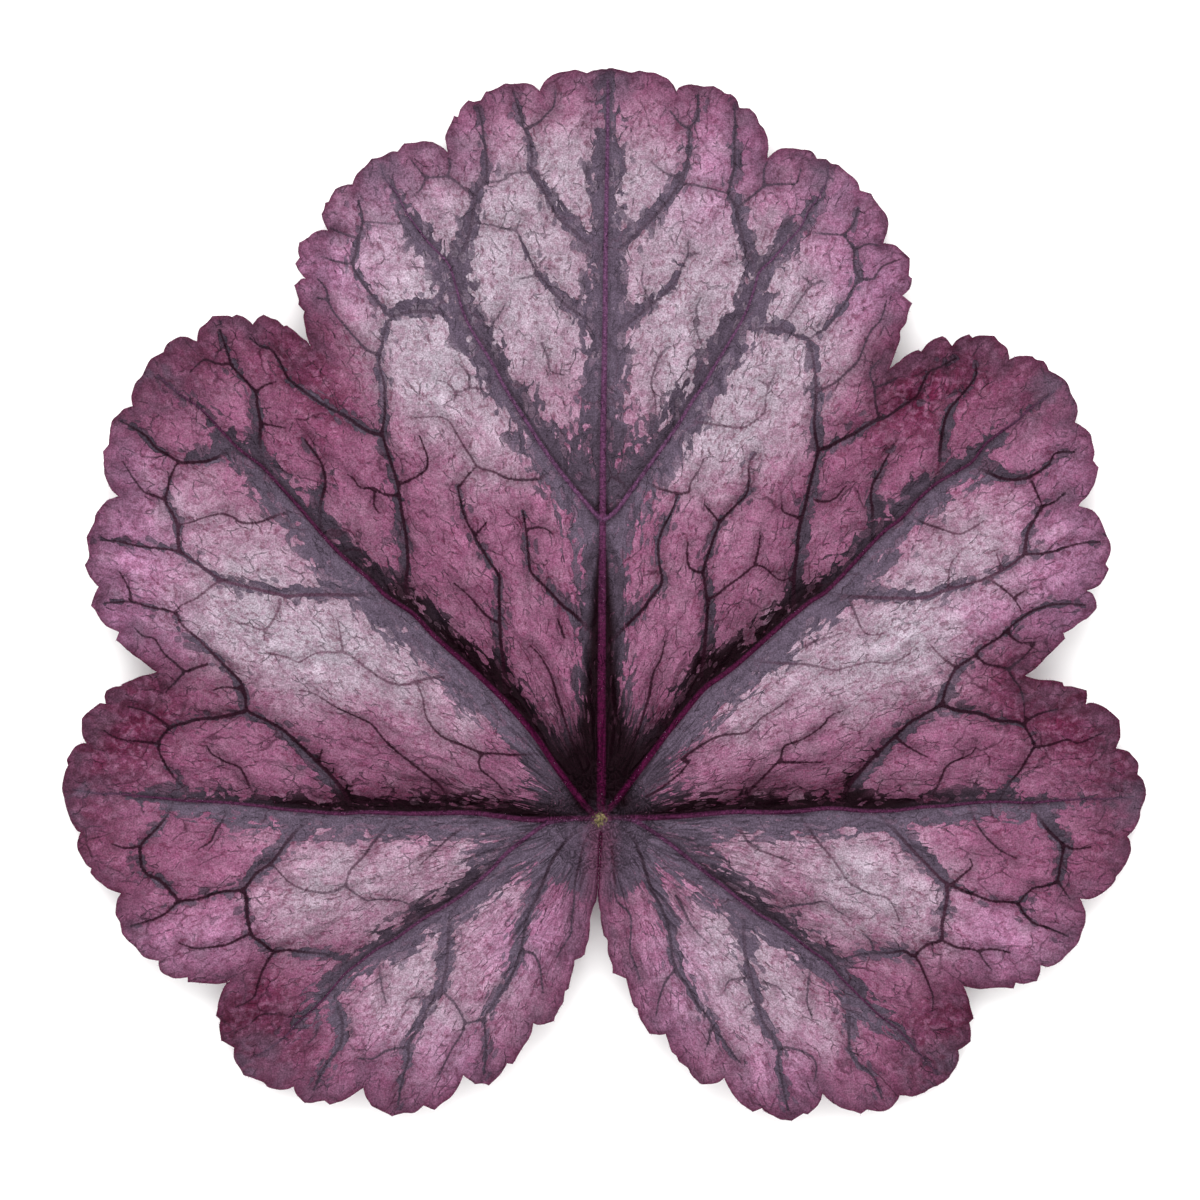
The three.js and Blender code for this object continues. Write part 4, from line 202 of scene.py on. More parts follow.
# The finer net between them.
NET_VEINS = [
    # Top lobe.
    [-12.6, 62.5, -13.4, 63, -14.4, 63.8, -15.2, 64.3, -16.6, 64.3, -17.5, 64.3, -18.2, 65.2, -18.9, 66],
    [-15.2, 64.4, -15, 65.6, -15.2, 66.2],
    [-17.4, 64.4, -18, 63, -19.2, 62.2],
    [-6.8, 64.8, -8, 64.7, -9.5, 64.5],
    [-6.8, 64.9, -6, 64.4, -5.1, 64.9],
    [-7.4, 69.1, -6.2, 69.7, -5.3, 70.6, -4.6, 71.4, -4.4, 73],
    [-11.6, 63.7, -9.8, 63.9, -8.6, 64.6],
    [-8.4, 58.95, -9.8, 59.2, -11, 59.5, -12.8, 59.8],
    [-8.4, 58.95, -8, 59.9],
    [-6.1, 54.5, -8, 54.1],
    [-14.6, 52.9, -13.3, 52.8, -12.3, 53.5],
    [-13.3, 48.9, -11.6, 49, -10.3, 50.2, -9.4, 51.7],
    [-24.3, 58.2, -25.8, 58.7, -27, 59.2],
    [-24.7, 55.6, -26.15, 55.8, -27.8, 56.3],
    [-19.2, 59.8, -21, 59.7, -23.8, 59.9],
    [-22.2, 46.6, -23.3, 47, -24.4, 48.1, -25.4, 49.3, -26.5, 50.6, -27.2, 51.8, -28.3, 52.2],
    [-27.1, 51.9, -27.4, 53.1, -28.2, 54.1],
    [-10.4, 44.4, -11.4, 43.2, -12.95, 43.2, -14.3, 42.8, -15.1, 43.6, -16.4, 44],
    [-14.3, 42.8, -14.6, 41.8],
    [-13, 43.3, -13.2, 44.7, -14.1, 45.6],
    [-5, 34.9, -5.95, 34.2, -7.7, 34, -9.4, 34.2, -10.6, 34.8, -12.2, 35.3, -12.95, 36.4, -14, 38.05,
     -15.1, 39.85, -16.2, 40.3, -18.5, 40.2],
    [-14.2, 33.2, -13.3, 34.3, -12.4, 35.3],
    [-19.95, 33.6, -18.5, 34.2, -17.4, 35, -17.2, 36.1, -17.6, 37.3, -18, 38.4],
    [-20.2, 32.4, -21.7, 32.6, -22.6, 33.2, -23.9, 33.2, -24.6, 34.1, -25.2, 34.5],
    [-22.55, 32.9, -22.55, 31.4, -22.1, 30.7],
    [-10.1, 19.7, -10.9, 20.1, -11.9, 21, -13.1, 22.4, -14.6, 23.7],
    [-7.4, 29.1, -5.8, 29.25, -4.7, 28.6],
    [-4.4, 12.7, -5, 14.7, -6.05, 16.5, -6.95, 17.4],
    [-4.4, 12.7, -3.6, 10.2, -2.4, 6.6, -1.3, 3.6],
    [-3.6, 18.3, -4.25, 20.1],
    [-5.8, 47.7, -5.25, 46.3, -4.9, 44.85, -3.6, 44.5],
    [-12.5, 28.4, -11.3, 29.8],
    [5.1, 51.6, 4.2, 53.8, 4.4, 55.4],
    [8.75, 56.4, 9.9, 56.7],
    [8.2, 64.4, 7, 64.4, 6, 65.05, 5.1, 65.8],
    [8.9, 69.1, 8.1, 69.5, 7.05, 70.8],
    [8, 63.6, 9.2, 63.45, 10.6, 63.15, 12.8, 62.6],
    [20.2, 59.1, 21.95, 58.7, 23.4, 58.6, 24.6, 58.5],
    [13.7, 61.2, 15, 62.2, 16.4, 63.3, 18, 63.6, 19.6, 63.7, 20.1, 65.2],
    [16.4, 63.4, 16.4, 65, 16.8, 65.9],
    [25.9, 54.1, 27.3, 54.1, 28.2, 55.3, 29.9, 56],
    [25.4, 56.9, 26.7, 57.6, 28, 57.4],
    [22.2, 53.9, 21.2, 53.6, 20.2, 54.4],
    [21.2, 53.6, 20.1, 52.2, 19.1, 50.6, 18.1, 49.5],
    [9.9, 49.6, 9.6, 51, 10.1, 52.2],
    [9.4, 49.8, 10, 48, 11, 46.6],
    [6.9, 47.3, 5.9, 46.3, 5.4, 44.8, 5.1, 43.6, 5.5, 42.2, 5.6, 40.6],
    [21.7, 42.9, 23, 43.4, 24.4, 44.5, 25.7, 45.8, 26.3, 47.2, 27, 48.8, 28.05, 50.05, 28.6, 51.85],
    [27.9, 40.1, 27.5, 41.8, 27.4, 43.25, 26.95, 44.7, 27.85, 45.95],
    [27.4, 43.25, 28.6, 43.6, 29.6, 44.15],
    [9.3, 39.9, 10.5, 39.7, 11.9, 39.5, 13.85, 39.2, 14.9, 39.5, 16.4, 40.7, 16.5, 41.8, 16.9, 43.4,
     17.6, 44.7],
    [16.9, 43.4, 15.8, 44],
    [4.2, 33.9, 5.6, 33.3, 7.2, 32.8, 8.8, 32.7, 9, 33.6, 9.9, 35, 10.35, 36.1],
    [20.1, 30.2, 19.05, 30.5, 18.25, 30.9, 18.15, 31.8],
    [10.7, 22.1, 11.5, 22.4, 12.9, 23.5, 14.15, 24.4, 15.4, 25.4, 16.5, 25.2, 17.6, 24.2, 18.5, 24,
     19.4, 24.5],
    [15.4, 25.4, 15.8, 26.9, 16, 28.4],
    [11.9, 29.8, 11, 30.9, 10.35, 31.6],
    [10.2, 24.7, 9, 25.2, 8.7, 26.6, 8.8, 27.8],
    [5, 12.8, 5.3, 14.6, 6.1, 16.2, 6.5, 17.9],
    [5, 12.8, 4, 9.4, 2.6, 5.8],
    [21.5, 32, 22.3, 31.8, 23.4, 32.1, 24.6, 33.4],
    # Left upper lobe.
    [-31, 30.7, -32.2, 30.5, -34, 29.8, -35.7, 29.7, -36.7, 30.3, -37.8, 30.6, -39.3, 30.3, -40.7, 29.8,
     -42.1, 29.5],
    [-43.4, 32, -44.5, 32.4, -45.5, 32.8, -46.3, 33.8, -47, 34.8, -47.6, 35.8],
    [-37.4, 24, -38.3, 23.7, -39, 23.2, -40.2, 22.2, -41.7, 21.5, -42.4, 20.8],
    [-46.8, 21.9, -46.9, 22.8, -47.3, 23.8, -47.9, 24.8],
    [-34.4, 42.7, -33.6, 43.4, -32.4, 43.8],
    [-34, 39.7, -33, 39.5, -31.5, 39.2],
    [-36.8, 45.6, -38.2, 45.6, -39.6, 46, -41, 44.8],
    [-15.6, 14.3, -17, 14.2, -18.6, 13.8, -19.8, 13.5, -21.4, 13.9, -23.2, 15.1, -25, 16.5, -26.8, 16.8,
     -28.6, 16.6, -30, 15.8, -31.2, 16.3, -32.6, 16.6],
    [-31.9, 22, -32.3, 20.6, -33.4, 19.1, -35.2, 19.5, -36.8, 20],
    [-33.4, 19.1, -33.5, 18],
    [-15, 2, -16, 3.4, -17.2, 4.4, -18.7, 5.6, -20.2, 6.8, -21.6, 8.1, -22.8, 9.6, -24.4, 10.4, -26.3, 11.3,
     -28.6, 12.7, -30, 13],
    [-28.1, 6, -27.8, 7],
    [-6.2, 6.6, -8.6, 6.5, -11.6, 6.6, -12, 5.2, -10.5, 3.9, -9.2, 2.4],
    [-11.6, 6.6, -13.5, 7.4, -15.8, 8.4, -17.3, 10.2, -17.7, 12.2, -18.2, 13.4],
    [-35.4, 12.2, -36, 13.1, -37.6, 13.3, -38.6, 13],
    [-39.2, 15.6, -40.4, 15.2, -41.4, 14.9, -42.6, 15.9, -43.6, 16.8, -44.4, 18.1, -45.6, 18.4,
     -46.4, 19.2],
    [-41.4, 14.9, -42.4, 13.8, -43.4, 12.8],
    [-25.7, 16.9, -26, 18.9, -26.2, 20],
    # Right upper lobe.
    [43.2, 33.8, 43.85, 32.2, 44.2, 31.3],
    [34.8, 23.1, 34.8, 24.1, 35.05, 25.6, 35.8, 26.6],
    [39.8, 24.8, 39.9, 25.6, 39.6, 26.5],
    [31, 31, 32, 29.9, 34, 29.15, 35.8, 28.6, 37.2, 29.15, 38.3, 29.9],
    [38.6, 24.2, 40, 23.3, 41.2, 22.2, 42, 21],
    [41.2, 22.2, 42.3, 22.9],
    [24.9, 22.3, 25.6, 20.4, 26, 19.4, 26.35, 18.85, 27.1, 18.5, 28.5, 18.7],
    [15, 16.2, 16, 15.9, 17.6, 15.7, 19.9, 15.6, 22.05, 15.3, 23.5, 15, 25.1, 15.4, 26.9, 15.8, 28.7, 15.7,
     30.1, 16.15, 31.6, 17.2],
    [20.6, 17.4, 21.8, 18, 23, 18.3, 24.2, 18.7],
    [8.2, 6, 9.1, 6.8, 11.5, 8.25, 13.1, 8.6, 14.7, 8.8, 16.1, 10.2, 17.6, 11.1, 18.8, 12],
    [14, 1.1, 15, 2.9, 15.8, 3.8, 17.2, 5.2, 18.1, 6.3, 18.4, 7.4, 20.25, 8.1, 22.05, 9.3, 22.95, 10.4,
     24.2, 10.95],
    [18.2, 5.8, 20, 5.75, 22.2, 5.8],
    [4.6, 2.3, 6.1, 3.15, 7.9, 4.6, 9.1, 6],
    [37.6, 16.4, 38.5, 15.6, 39.6, 15.4, 40.6, 15.1, 41.2, 14.15, 41.9, 13.25, 42.3, 11.8, 42.4, 10.4],
    [40.6, 15.1, 41.9, 16, 43.2, 17.4],
    [40.6, 18.8, 41.8, 17.8, 43.4, 17.8],
    [35.3, 15.4, 34, 16.4, 33, 17.5],
    [32.8, 1.6, 33.2, 2.3, 34, 3.9, 34.7, 5.4, 36, 6.1, 37.05, 6.6, 37.6, 7.3],
    [29.6, 8.2, 31, 7.2, 32.7, 6.3],
    [27.8, 6.4, 27.2, 7.2],
    # Side lobes.
    [-42.9, 9.2, -44.2, 10.2, -45.4, 10.9, -47.2, 11.4],
    [-44.1, 7.6, -45.5, 7.8, -47.6, 8, -48.8, 8.4, -49.6, 9],
    [-34.5, 2.2, -35.2, 3.6, -36, 5.2, -37.4, 5.8, -38.8, 6.6, -39.3, 7.4],
    [-37.8, -0.1, -38.4, -1, -39, -2.2, -40.2, -2.9],
    [-37.4, 0.9, -37.8, -0.1],
    [-46, -2.6, -46.9, -2.8, -47.8, -2.75, -48.8, -2.4],
    [-34.9, -11.3, -36.2, -11.9, -37.3, -12.4, -38.8, -12.6, -40.3, -12.75, -42, -12.2],
    [-32.6, -13.2, -33.3, -14.2, -34, -15.8, -34.5, -17.5, -35.2, -18.1, -36.4, -18.7],
    [-29.8, -19.9, -31.7, -19.5, -33, -19.4, -34, -19.5, -34.9, -20.3],
    [-20.8, 0.7, -21.3, -0.65, -22.4, -1.9, -23.7, -3.7, -24.9, -4.95, -25.3, -6.5, -24.3, -7.4, -23.3, -8,
     -21.9, -7.9, -19.7, -8.2, -17.6, -9.4],
    [-25.3, -6.5, -27, -7.2, -29.2, -7, -31, -6.2, -32.6, -4.6],
    [-12.2, -0.1, -14.6, -1.4, -16.2, -2.8, -18, -4.5],
    [42.6, 9.9, 43.9, 10.65, 45.7, 11.1],
    [43.5, 7.3, 44.95, 7.5, 46.6, 8.05, 47.8, 7.7, 49.1, 8.2, 50.3, 8.8],
    [46.1, -2.25, 47.3, -2.9, 49.1, -2.7],
    [45.8, -6.1, 46.3, -6.9, 46.9, -7.8],
    [37, 1.5, 37.3, 0.4, 38.2, -1.2, 39.3, -2.4, 40.2, -3.15, 41.6, -3.8],
    [34.05, -11.95, 35.7, -12.7, 37.6, -13, 38.4, -14.1, 39.1, -14.9],
    [37.6, -13, 39.3, -12.85, 40.9, -13.2],
    [31.5, -13.6, 32.1, -14.6, 32.8, -16.3, 33.3, -17.7, 33.2, -19.1],
    [27.4, -13.2, 27.05, -12, 26.3, -11.4],
    [35.4, -6.2, 36.6, -5.2, 37.2, -4.6, 37, -3.9],
    [20, 0.6, 21.3, -1.5, 23.1, -3.7, 24, -4.9, 25, -6.3, 26.9, -7.3, 28.85, -7.9, 29.9, -10],
    [17.2, -9.9, 17.3, -9.2, 19.2, -8.6, 20.8, -8.4, 22.6, -8.15, 23.7, -9.05, 24.4, -9.4],
    [14, -1, 15.2, -2.6, 17, -3.4, 19, -4],
    # Lower lobes.
    [-16.2, -17.6, -18.2, -17.7, -19.1, -17.85, -19.5, -18.3],
    [-15.9, -17.2, -15.2, -17.6, -14.3, -18.6, -13.6, -20, -13.7, -21.1, -14.6, -22.5, -15.4, -24,
     -16, -25.3],
    [-19.1, -22.7, -20.5, -22.8, -21.7, -23.2, -22.6, -23.8, -24.2, -23.8],
    [-11.5, -19.8, -12.2, -20, -13.5, -20.3],
    [-7.9, -13.2, -6.7, -13.3, -6, -14.6, -5.85, -15.9, -5.7, -17.2],
    [-0.4, -0.6, -1.6, -2.4, -2.15, -4.8, -2.5, -6.3, -2.6, -8.3, -2.85, -10.15, -2.9, -11.3, -3.7, -12.6,
     -4.3, -13.6],
    [-22.1, -13.4, -22, -15.7, -21.7, -17.1, -21.4, -18.2],
    [-28.3, -20.3, -28.4, -21.5, -29.2, -22.3],
    [16.2, -16.2, 17.8, -16.7, 18.4, -17.4],
    [15, -15.7, 12.9, -16, 12.5, -17],
    [16, -18.1, 14.8, -18.4, 14.3, -18.9],
    [17.8, -22.8, 18.85, -22.7, 20.5, -23.2, 21.4, -23.9, 21.6, -24.8, 21.4, -26],
    [21.6, -13.4, 21.1, -14.8, 20.8, -16.6, 20.7, -18.2, 21.1, -19.5],
    [11.1, -20.6, 10.8, -22.1, 10.5, -22.9],
    [7.6, -14.9, 6.8, -15.7, 6.3, -16.6, 5.9, -17.8, 5.6, -19.4],
    [0.6, -0.7, 1.1, -2.6, 1.4, -5.1, 1.5, -6.9, 1.7, -8.1, 2.7, -9, 3.1, -9.9, 3.05, -11.7, 3, -13,
     3.4, -14.2, 3.95, -15.85],
    [7.6, -7.6, 8.3, -8.85, 9, -10.3, 9.9, -11.4, 10.8, -12.3],
]

# Where a cell's colour leans away from mauve, by kind: x, y, reach and strength of each patch.
# The dusk and shaded patches are painted shade, with some of the leaf's own darker colour, mostly on
# the folds and banks that face away from the light; the silver patches are the leaf's own silver and
# also painted light on the ridges that face the light.
TINTS = {
    "silver": [
        (-12, 55, 7, 0.8), (-5, 48, 6, 0.6), (-10, 62, 5, 0.6), (4, 64, 4, 0.7), (-4, 66, 4, 0.6),
        (8, 52, 6, 0.8), (15, 57, 5, 0.6), (12, 46, 6, 0.6), (20, 52, 5, 0.7), (-18, 52, 6, 0.8),
        (-22, 58, 5, 0.6), (-16, 44, 6, 1.0), (-20, 49, 4, 0.6), (-9, 38, 5, 0.5), (13, 38, 6, 0.9),
        (17, 44, 5, 0.6), (8, 42, 4, 0.5), (22, 46, 5, 0.4), (-36, 21, 7, 0.9), (-28, 17, 6, 1.0),
        (-22, 18, 5, 0.7), (-20, 13, 5, 0.7), (-14, 10, 4, 0.4), (-40, 31, 5, 0.4), (-32, 27, 4, 0.3),
        (31, 18, 6, 1.0), (24, 14, 6, 0.8), (18, 16, 4, 0.6), (38, 27, 5, 0.7), (14, 11, 4, 0.6),
        (33, 24, 4, 0.6), (-27, -6, 5, 0.7), (-20, -5, 4, 0.5), (-13, -3, 4, 0.4), (-30, -10, 4, 0.5),
        (25, -6, 6, 0.9), (31, -9, 5, 0.6), (15, -3, 4, 0.5), (-17, -14, 5, 0.6), (-12, -8, 4, 0.5),
        (12, -13, 5, 0.8), (15, -19, 5, 0.6), (22, -20, 4, 0.4), (-20, -18, 5, 0.5), (18, -15, 4, 0.4),
        (-9, -17, 4, 0.3), (0, 58, 9, 0.5), (-7, 54, 6, 0.5), (6, 46, 5, 0.5), (18, 49, 6, 0.5),
        (-15, 60, 6, 0.4), (10, 58, 5, 0.4), (-18, -22, 5, 0.4), (-5, 63, 5, 0.6), (6, 62, 5, 0.5),
        (-33, 19, 4, 0.7), (28, 16, 4, 0.6), (-13, 48, 5, 0.5), (8, 21, 4, 0.25), (13, 29, 3, 0.35),
        (-9, 14, 3, 0.2), (7, 24, 2, 0.35), (-7, 23, 2, 0.35), (-13, 34, 3, 0.4), (9, 35, 3, 0.4),
        (-17, 21, 2, 0.3), (-24, 30, 2, 0.25), (25, 31, 2, 0.2),
    ],
    "pink": [
        (-27, 55, 5, 0.8), (-22, 63, 5, 0.5), (27, 54, 5, 0.9), (24, 62, 5, 0.6), (-14, 67, 4, 0.5),
        (14, 67, 5, 0.7), (10, 62, 4, 0.5), (-47, 27, 5, 0.8), (-48, 20, 4, 0.8), (-47, 35, 4, 0.6),
        (-44, 17, 4, 0.6), (47, 30, 5, 0.7), (47, 22, 5, 0.8), (46, 36, 4, 0.5), (43, 18, 4, 0.5),
        (38, 20, 4, 0.4), (-38, -12, 4, 0.5), (-45, -12, 4, 0.5), (40, -12, 5, 0.7), (47, -12, 4, 0.3),
        (-8, -13, 4, 0.6), (-14, -25, 5, 0.6), (-22, -25, 5, 0.5), (-4, -10, 4, 0.4), (7, -14, 4, 0.5),
        (18, -26, 5, 0.5), (8, -20, 4, 0.5),
    ],
    "dusk": [
        (-22, 33, 5, 0.9), (-16, 30, 5, 0.7), (-12, 24, 5, 0.8), (-8, 30, 4, 0.4), (-27, 38, 5, 0.8),
        (-33, 40, 5, 0.8), (-5, 12, 5, 0.8), (-9, 17, 5, 0.8), (-4, 20, 3, 0.7), (-18, 24, 4, 0.8),
        (-6, 26, 4, 0.5), (8, 20, 5, 0.8), (5, 12, 5, 0.8), (12, 22, 5, 0.6), (18, 30, 5, 0.8),
        (24, 33, 5, 0.8), (12, 30, 4, 0.4), (30, 37, 5, 0.9), (5, 27, 4, 0.6), (-42, 6, 5, 0.7),
        (-33, 6, 5, 0.7), (-25, 6, 5, 0.8), (-22, 9, 4, 0.5), (-17, 5, 4, 0.4), (-10, 5, 3, 0.5),
        (-35, 10, 4, 0.5), (40, 6, 5, 0.8), (32, 6, 5, 0.8), (24, 6, 5, 0.6), (30, 11, 4, 0.4),
        (16, 4, 4, 0.4), (-42, -3, 5, 0.5), (-27, -13, 4, 0.5), (40, -2, 4, 0.7), (45, -6, 4, 0.6),
        (20, -8, 3, 0.5), (28, -13, 4, 0.5), (-33, -17, 4, 0.7), (-30, -24, 4, 0.7), (30, -24, 4, 0.6),
        (26, -17, 4, 0.5), (-15, -29, 3, 0.7), (-22, -27, 4, 0.7), (-9, -25, 3, 0.5), (17, -30, 3, 0.6),
        (24, -28, 3, 0.6), (9, -26, 3, 0.4), (-5, -18, 2, 0.4), (-41, -4, 4, 0.6), (42, -5, 4, 0.5),
        (41, 38, 4, 0.5), (45, 33, 3, 0.4), (-42, 38, 4, 0.5), (-37, 33, 3, 0.4),
    ],
    "shaded": [
        (33, -24, 4, 0.5), (-34, -22, 3, 0.4), (-44, 43, 3, 0.5), (45, 41, 3, 0.4), (-51, 1, 4, 0.4),
        (52, 2, 3, 0.4), (31, 44, 3, 0.3), (-32, 45, 3, 0.3), (-46, 13, 3, 0.4), (45, 13, 3, 0.3),
    ],
    "wine": [
        (-31, 46, 5, 1.0), (-27, 42, 4, 0.7), (-40, 46, 5, 0.8), (-45, 42, 4, 0.5), (32, 42, 5, 1.0),
        (27, 38, 4, 0.8), (37, 46, 5, 0.9), (43, 43, 4, 0.7), (-45, 12, 5, 1.0), (-38, 13, 3, 0.4),
        (-50, 6, 5, 1.0), (-52, 0, 4, 0.8), (-48, -6, 4, 0.5), (42, 14, 5, 1.0), (48, 10, 5, 1.0),
        (52, 4, 5, 1.0), (51, -3, 4, 0.7), (-36, -20, 4, 1.0), (36, -20, 5, 1.0), (34, -25, 4, 0.9),
        (-48, 9, 4, 0.7), (46, 12, 4, 0.6), (30, 46, 3, 0.8), (-29, 48, 3, 0.7), (-33, -17, 3, 0.7),
        (-31, -22, 4, 0.7), (33, -22, 4, 0.8), (-37, -22, 3, 0.8),
    ],
    "mauve": [
        (7, 18, 4, 0.7), (-8, 15, 4, 0.5), (14, 27, 4, 0.6), (-12, 27, 4, 0.5), (-33, 6, 3, 0.6),
        (-24, 7, 3, 0.4), (33, 6, 3, 0.5), (22, 8, 4, 0.5), (-35, 42, 4, 0.5), (-24, 34, 3, 0.4),
        (30, 33, 4, 0.4), (25, 37, 3, 0.3), (9, 28, 3, 0.5), (-17, 34, 3, 0.4),
    ],
}

# How each main vein looks: half widths of its rib and of the bare band on its southern and on its
# northern side, in millimetres; how dark the painted shade is on the bank above it; how grey its rib
# is; what share of the band is left at the tip; and how much the band closes, and from where on.
VeinLooks = namedtuple("VeinLooks", (
    "rib_foot", "rib_tip", "south_foot", "south_tip", "north_foot", "north_tip",
    "dark", "grey_foot", "grey_tip", "tip_share", "closing", "closes_from",
))
LOOKS_BY_LOBE = (
    VeinLooks(0.50, 0.20, 2.1, 1.0, 2.1, 1.0, 0.0, 0.0, 1.0, 0.6, 0.5, 0.90),  # midrib
    VeinLooks(0.38, 0.14, 3.3, 0.8, 1.2, 0.6, 1.0, 0.1, 0.4, 0.2, 1.3, 0.78),  # upper lobes
    VeinLooks(0.34, 0.12, 2.5, 0.4, 0.8, 0.3, 1.0, 0.3, 0.4, 0.2, 1.3, 0.78),  # side lobes
    VeinLooks(0.27, 0.10, 2.1, 0.3, 0.9, 0.4, 0.65, 0.5, 0.4, 0.2, 1.3, 0.78),  # lower lobes
    VeinLooks(0.27, 0.10, 1.6, 0.6, 1.6, 0.6, 0.45, 0.6, 1.0, 0.2, 1.3, 0.78),  # forks of the midrib
)
MAIN_LOOKS = [LOOKS_BY_LOBE[(i + 1) // 2] for i in range(len(MAIN_VEINS))]

# The blade's form, in millimetres.
THICKNESS = 0.6
RIM_THICKNESS = 0.4
VEIN_FLOOR = 1.1  # height of the upper face along the main veins
FOLD_HEIGHT = 5.8  # rise from a main vein to the ridge between two
FOLD_REACH = 9.5
FOLD_ROUND = 0.7
RIDGE_ROUND = 1.2
BRANCH_VALLEY = 1.2
BRANCH_REACH = 2.8
CELL_REACH = 1.3  # how far a cell of the net takes to swell up
WRINKLE_GRAIN = 0.8  # wrinkles per millimetre
WRINKLE_CLEARANCE = 1.5
RIM_DROOP = 0.8
RIM_REACH = 2.4
WAVE_HEIGHT = 0.55
WAVE_COUNT = 5
WAVE_START = 0.8  # radians
WAVE_RADIUS = 50
RIB_TAPER = 0.7  # share of a rib's rise and keel that is lost at its tip
KEEL_DEPTH = 1.8
KEEL_HALF_WIDTH = 1.6
BRANCH_KEEL_DEPTH = 0.4 * KEEL_DEPTH
NET_KEEL_DEPTH = 0.3
NET_KEEL_HALF_WIDTH = 0.9
SCAR_RADIUS = 1.8
SCAR_EDGE = 1.15  # where the stub of the stalk starts to stand out, in its radii
SCAR_DEPTH = 3

# The rim and the slit between the two lowest lobes, in millimetres.
RIM_PARTS = 3  # new points for each point of the part's outline
RIM_NOTCH = math.radians(38)  # sharper turns stay notches
RIM_SLIP = 0.05
RIM_GRAIN = 1.9  # slips per millimetre
SLIT_MIDDLE = 0.15
SLIT_SLANT = 0.052
SLIT_REACH = 0.3
SLIT_TOP = -1.4
SLIT_FOOT = -8.4
SLIT_OPENING = 0.9
SLIT_HALF_WIDTH = 0.02

# The mesh, the hairs and the view, in millimetres where nothing else is said.
VEIN_STEP = 0.35
RIB_ROWS = (-0.46, -0.22, 0.22, 0.46)  # rows of points along each side of a main rib
ROW_TAPER = 0.6
RIM_CLEARANCE = 0.3
FIELD_CORNER = Vector((-56, -31))
FIELD_SIZE = Vector((112, 108))
ROW_SHARE = 0.866  # height of an even triangle, in its sides
JITTER = 0.12  # in spacings
VEIN_CLEARANCE = 0.62  # in spacings
HAIR_ROOT = 0.06  # how deep a hair sits in the skin
HAIR_SCATTER = 0.3
HAIR_TIP = 0.25  # radius at its tip, in radii at its foot
CAMERA_AIM = Vector((0, 22))

# The dark banks, partly painted shade, bare bands and fine lines beside the veins, in millimetres.
BANK_REACH = 5.5
BANK_BLEND = 2.5
STEEP_GAP = 0.4  # nearer than this, the banks on both sides run together
FADE_FROM = 0.3  # share of a vein's length from which on its bank pales
TIP_FADE = 0.22  # share of a vein's length along which its band runs out
FORK_SHADE = 0.75  # the dark on both sides of the midrib, below its fork
FORK_TOP = (33, 26)
FORK_FOOT = (0, 2)
FORK_REACH = 2.6
FORK_NARROWING = 0.05  # per millimetre up the midrib
SLIT_SHADE = 0.9  # a painted fold shadow beside the slit, a dark streak
STREAK_MIDDLE = 1.4
STREAK_REACH = 0.5
STREAK_TOP = (-0.8, -1.8)
STREAK_FOOT = (-8.5, -5.5)
WEDGE_SLOPE = 0.9  # painted shade in the low wedge above the junction, where the main veins meet
WEDGE_EDGE = (0, 2)
WEDGE_REACH = 9
OPEN_TOP = (38, 48)  # where the bands are open and grey on both sides
OPEN_FOOT = (-3, -9)
OPEN_SIDE = (31, 27)
HEART_RADIUS = 7.5  # the bare ground south of the junction
BRANCH_GAP = 0.3  # the same for a branch
FOOT_GAP = 1.0  # a branch leaves a main vein when its foot is this near
BRANCH_BAND = 0.2  # half width of a branch's band at its foot
BRANCH_BAND_OPEN = 0.4  # what is added where the bands are open
BRANCH_BAND_LIT = 0.9  # what is added at most on a lit bank
BRANCH_BAND_TAPER = 0.95
BRANCH_BAND_POWER = 1.3
AXIL_BAND = 1.1  # how much wider it is in the corner between branch and vein
BRANCH_FLAKES = 0.35  # how loose the flakes are beside a branch, to 1 beside a main vein
SHADED_FLAKES = 0.5  # how much looser on a dark bank
FLAKE_TURN = 0.6  # how much nearer the branch's band is where they are half way between the two
FLAKE_TURN_REACH = 0.5
LARGEST_POWER = 20.0
PATCH_END = 5  # squared reaches at which a patch of tint has faded out
BRANCH_LEAN = 0.4  # painted shade on a branch's own bank that faces away from the light
BRANCH_LEAN_REACH = 1.3
BRANCH_LEAN_CLEARANCE = 3
BRANCH_LINE = (0.17, 0.07)  # half widths of the fine lines at foot and tip
NET_LINE = (0.12, 0.04)


def linear(code, alpha=1.0):
    """An sRGB hex colour as linear values."""
    parts = [int(code[i : i + 2], 16) / 255 for i in (1, 3, 5)]
    return tuple(c / 12.92 if c <= 0.04045 else ((c + 0.055) / 1.055) ** 2.4 for c in parts) + (alpha,)


def colour_property(name, code, description):
    return FloatVectorProperty(
        name=name, description=description, subtype="COLOR", size=4, min=0.0, max=1.0, default=linear(code)
    )


def length_property(name, millimetres, description):
    return FloatProperty(
        name=name, description=description, default=millimetres * MM, min=0.0, unit="LENGTH", precision=5
    )


def strength_property(name, value, description):
    return FloatProperty(name=name, description=description, default=value, min=0.0)


